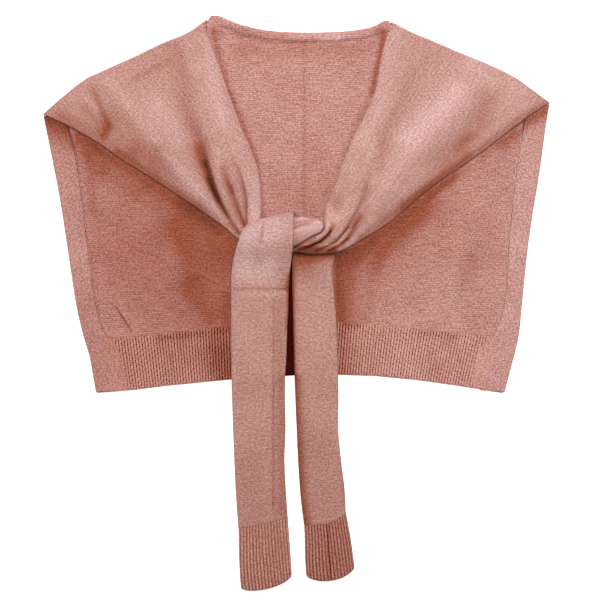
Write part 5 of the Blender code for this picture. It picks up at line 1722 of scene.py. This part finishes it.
# Painted shade on the ties under the knot and along their edges; painted light on the loop below 0.
TIE_LEFT_SHADES = (
    (3, 0.8, -9, 34, -10.5, -30), (1.9, 0.5, -74.8, 16.8, -10, 17.3), (3, -0.2, -72.4, 10.8, -12, 11.3),
    (1.3, 1.1, -38.8, 92.8, -42.8, 72), (6, 0.35, -46, 62, -45, 50), (6, 0.3, -19.6, 3.6, -19.6, -90),
    (10, 0.45, -17, -96, -15, -250), (30, 0.25, -55.6, -200.4, -49.6, -260.4),
    (18, -1, -60.6, 80.2, -32, 88), (18, -0.3, -32, 88, -10.6, 92.8), (18, -1, -60, 42, -30, 42),
    (1.4, 0.4, -27.4, 3.6, -28, -248.4), (9, 0.5, -20, 40, -12, 20), (5, -0.9, 2, 101, 8, 98),
)
TIE_RIGHT_SHADES = (
    (2.5, 0.8, -2, 58.5, 46, 60), (9, 1, -1.6, 58, 46.8, 60), (20, 0.75, -6, 54, 10, 48),
    (14, -0.1, 28.4, 3.6, 30.8, -44.4), (36, 0.2, 28.4, -176.4, 40.4, -260.4),
    (3.6, 0.3, 50, 3.6, 58.4, -236.4), (1.8, 0.9, -4.6, 42, -2.6, -92), (5, 0.5, -4.6, 42, -2.6, -92),
    (8.5, 1, -2.2, -92, 0.4, -154, 2.4, -196, 5.2, -234, 9.4, -262),
)
# Painted shade on the cuffs.
CUFF_LEFT_SHADES = (
    (80, 0.2, -40, -262, -36, -340),
)
CUFF_RIGHT_SHADES = (
    (80, 0.5, 30, -250, 40, -325), (2, 0.5, 37, -256, 41, -330),
)
TIE_LEFT_CREASES = (
    (1.5, 0.43, 6.3, 0.41, 0.026, 0.6, 1.6), (10.1, 0, 10.12, 1, 0.6, 0.12, 0.7),
)
TIE_LEFT_ROWS = (
    (-37, 99, 2.8, 8, 102.6, 2.8, 0, 0, 90, 3),
    (-38, 99, 9, 5.5, 104.8, 8, 0, 0, 86, 3.2),
    (-43, 98.6, 15, 1, 108, 14.5, 1, 0, 74, 3.6),
    (-53, 95.6, 18.4, -2.4, 109.4, 19.2, 1.4, 0, 52, 4),
    (-61, 90.6, 19.2, -3.2, 106.2, 21.6, 1.6, 0, 24, 4.4),
    (-65.8, 82.6, 18.4, -3.2, 96, 22.2, 2, 0, 4, 4.6),
    (-69.8, 72.6, 16.8, -3.4, 82, 21.6, 2.4, 0, -12, 4.6),
    (-73.6, 60, 13.6, -4, 67, 18.6, 2.4, 0, -24, 4.6),
    (-76.6, 47, 9.4, -5.6, 52, 12.4, 1.6, 0, -24, 4.8),
    (-78.3, 34, 6.2, -7.6, 37, 7.2, 0.6, 0, -12, 5.2),
    (-78.7, 18, 5.1, -8.8, 20, 5.2, 0, 0, -2, 5.6),
    (-78.6, -14, 5.2, -9.8, -14, 5.2, 0, 0, 0, 5.6),
    (-78.5, -26, 5.95, -10.5, -26, 5.95, 0, 0, 0, 5.6),
    (-78.3, -70, 5.95, -12.2, -70, 5.95, 0, 0, 0, 5.6),
    (-78, -90, 5.95, -13.4, -90, 5.95, 0, 0, 3, 5.6),
    (-77.4, -112, 2.9, -13.6, -112, 2.9, 0, 0, 3, 5.6),
    (-76.2, -150, 2.8, -12.9, -150, 2.8, 0, 0, 0, 5.6),
    (-74.6, -188, 2.8, -14.2, -186, 2.8, 0, 0, 0, 5.6),
    (-72.6, -230, 2.8, -12.7, -222, 2.8, 0, -1, 0, 5.6),
    (-69.8, -269.6, 2.8, -10.3, -256.7, 2.8, 0, -2.5, 0, 5.6),
)
TIE_RIGHT_ROWS = (
    (-4.4, 61.2, 4, 47, 66.5, 4, 0, 0, 0, 3),
    (-5, 54, 4.6, 46.5, 56, 4.6, 0, 0, 0, 4.2),
    (-5.2, 44, 5.1, 43, 43.2, 5.1, 0, 0, 0, 5.4),
    (-5.2, 30, 5.2, 43.4, 30, 5.2, 0, 0, 0, 5.6),
    (-4.6, 6, 5.2, 45.8, 6, 5.2, 0, 0, 0, 5.6),
    (-4.1, -14, 5.2, 47.8, -14, 5.2, 0, 0, 0, 5.6),
    (-3.8, -26, 5.95, 48.4, -26, 5.95, 0, 0, 0, 5.6),
    (-2.8, -68, 5.95, 49.8, -68, 5.95, 0, 0, 0, 5.6),
    (-2.2, -90, 5.95, 50.3, -90, 5.95, 0, 0, 3, 5.6),
    (-1.4, -112, 2.9, 50.7, -112, 2.9, 0, 0, 3, 5.6),
    (0.4, -154, 2.8, 50.4, -152, 2.8, 0, 0, 0, 5.6),
    (2.4, -196, 2.8, 54, -190, 2.8, 0, 0, 0, 5.6),
    (5.2, -234, 2.8, 58, -224, 2.8, 0, -2, 0, 5.6),
    (8.9, -264.6, 2.8, 59.5, -251.3, 2.8, 0, -7, 0, 5.6),
)
CUFF_LEFT_ROWS = (
    (-69.75, -269.65, 2.8, -10.25, -256.75, 2.8, 0, -2.5, 0, 5.6),
    (-69.7, -272, 2.8, -10.1, -259, 2.8, 0, -2.6, 0, 5.6),
    (-66.8, -340.2, 2.8, -5.6, -325.2, 2.8, 0, -8.4, 0, 5.6),
    (-66.6, -342, 2.8, -5.5, -327, 2.8, 0, -8.6, 0, 5.2),
)
CUFF_RIGHT_ROWS = (
    (8.95, -264.65, 2.8, 59.55, -251.35, 2.8, 0, -7, 0, 5.6),
    (9.1, -267, 2.8, 60, -253.6, 2.8, 0, -7, 0, 5.6),
    (11.6, -324.6, 2.8, 69.6, -315, 2.8, 0, -11.4, 0, 5.6),
    (11.8, -326.4, 2.8, 69.8, -316.8, 2.8, 0, -11.6, 0, 5.2),
)
CROSSING = tuple((row[4], row[5] + 0.5 * row[9] + 2.0 * SEAM) for row in TIE_RIGHT_ROWS[:4])


def main() -> None:
    """Builds the wrap's pieces, then the studio."""
    logging.basicConfig(level=logging.INFO, format="%(name)s: %(message)s")
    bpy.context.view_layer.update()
    groups = {"stitches": stitch_group(), "yarn": yarn_group()}
    finishes = (PANEL_KNIT, RIB_KNIT, BAND_KNIT, FRONT_KNIT, TIE_KNIT, CUFF_KNIT)
    materials = {finish.slot: finish.material(groups) for finish in finishes}
    layout = Layout()
    BackPanel(layout, PANEL_KNIT, creases=PANEL_CREASES, shades=PANEL_SHADES).build(materials)
    HemRib(layout, RIB_KNIT, shades=HEM_SHADES).build(materials)
    SideBand(layout, BAND_KNIT, Side.LEFT, BAND_LEFT_SHADES, 0.7).build(materials)
    SideBand(layout, BAND_KNIT, Side.RIGHT, BAND_RIGHT_SHADES, 0.2).build(materials)
    Front(layout, FRONT_KNIT, Side.LEFT, LEFT_FLAP, LEFT_BUNDLE, LEFT_CREASES, LEFT_SHADES).build(materials)
    Front(layout, FRONT_KNIT, Side.RIGHT, RIGHT_FLAP, RIGHT_BUNDLE, RIGHT_CREASES, RIGHT_SHADES,
          CROSSING).build(materials)
    Tie("tie_left", TIE_KNIT, TIE_LEFT_ROWS, creases=TIE_LEFT_CREASES, shades=TIE_LEFT_SHADES,
        flat=(0.128, 0.40)).build(materials)
    Tie("tie_right", TIE_KNIT, TIE_RIGHT_ROWS, shades=TIE_RIGHT_SHADES,
        flat=(0.106, 0.325)).build(materials)
    Cuff("cuff_left", CUFF_KNIT, CUFF_LEFT_ROWS, shades=CUFF_LEFT_SHADES,
         flat=(0.130, 0.072)).build(materials)
    Cuff("cuff_right", CUFF_KNIT, CUFF_RIGHT_ROWS, shades=CUFF_RIGHT_SHADES, flat=(0.118, 0.063),
         ribs=32).build(materials)
    Studio().build()


if __name__ == "__main__":
    main()
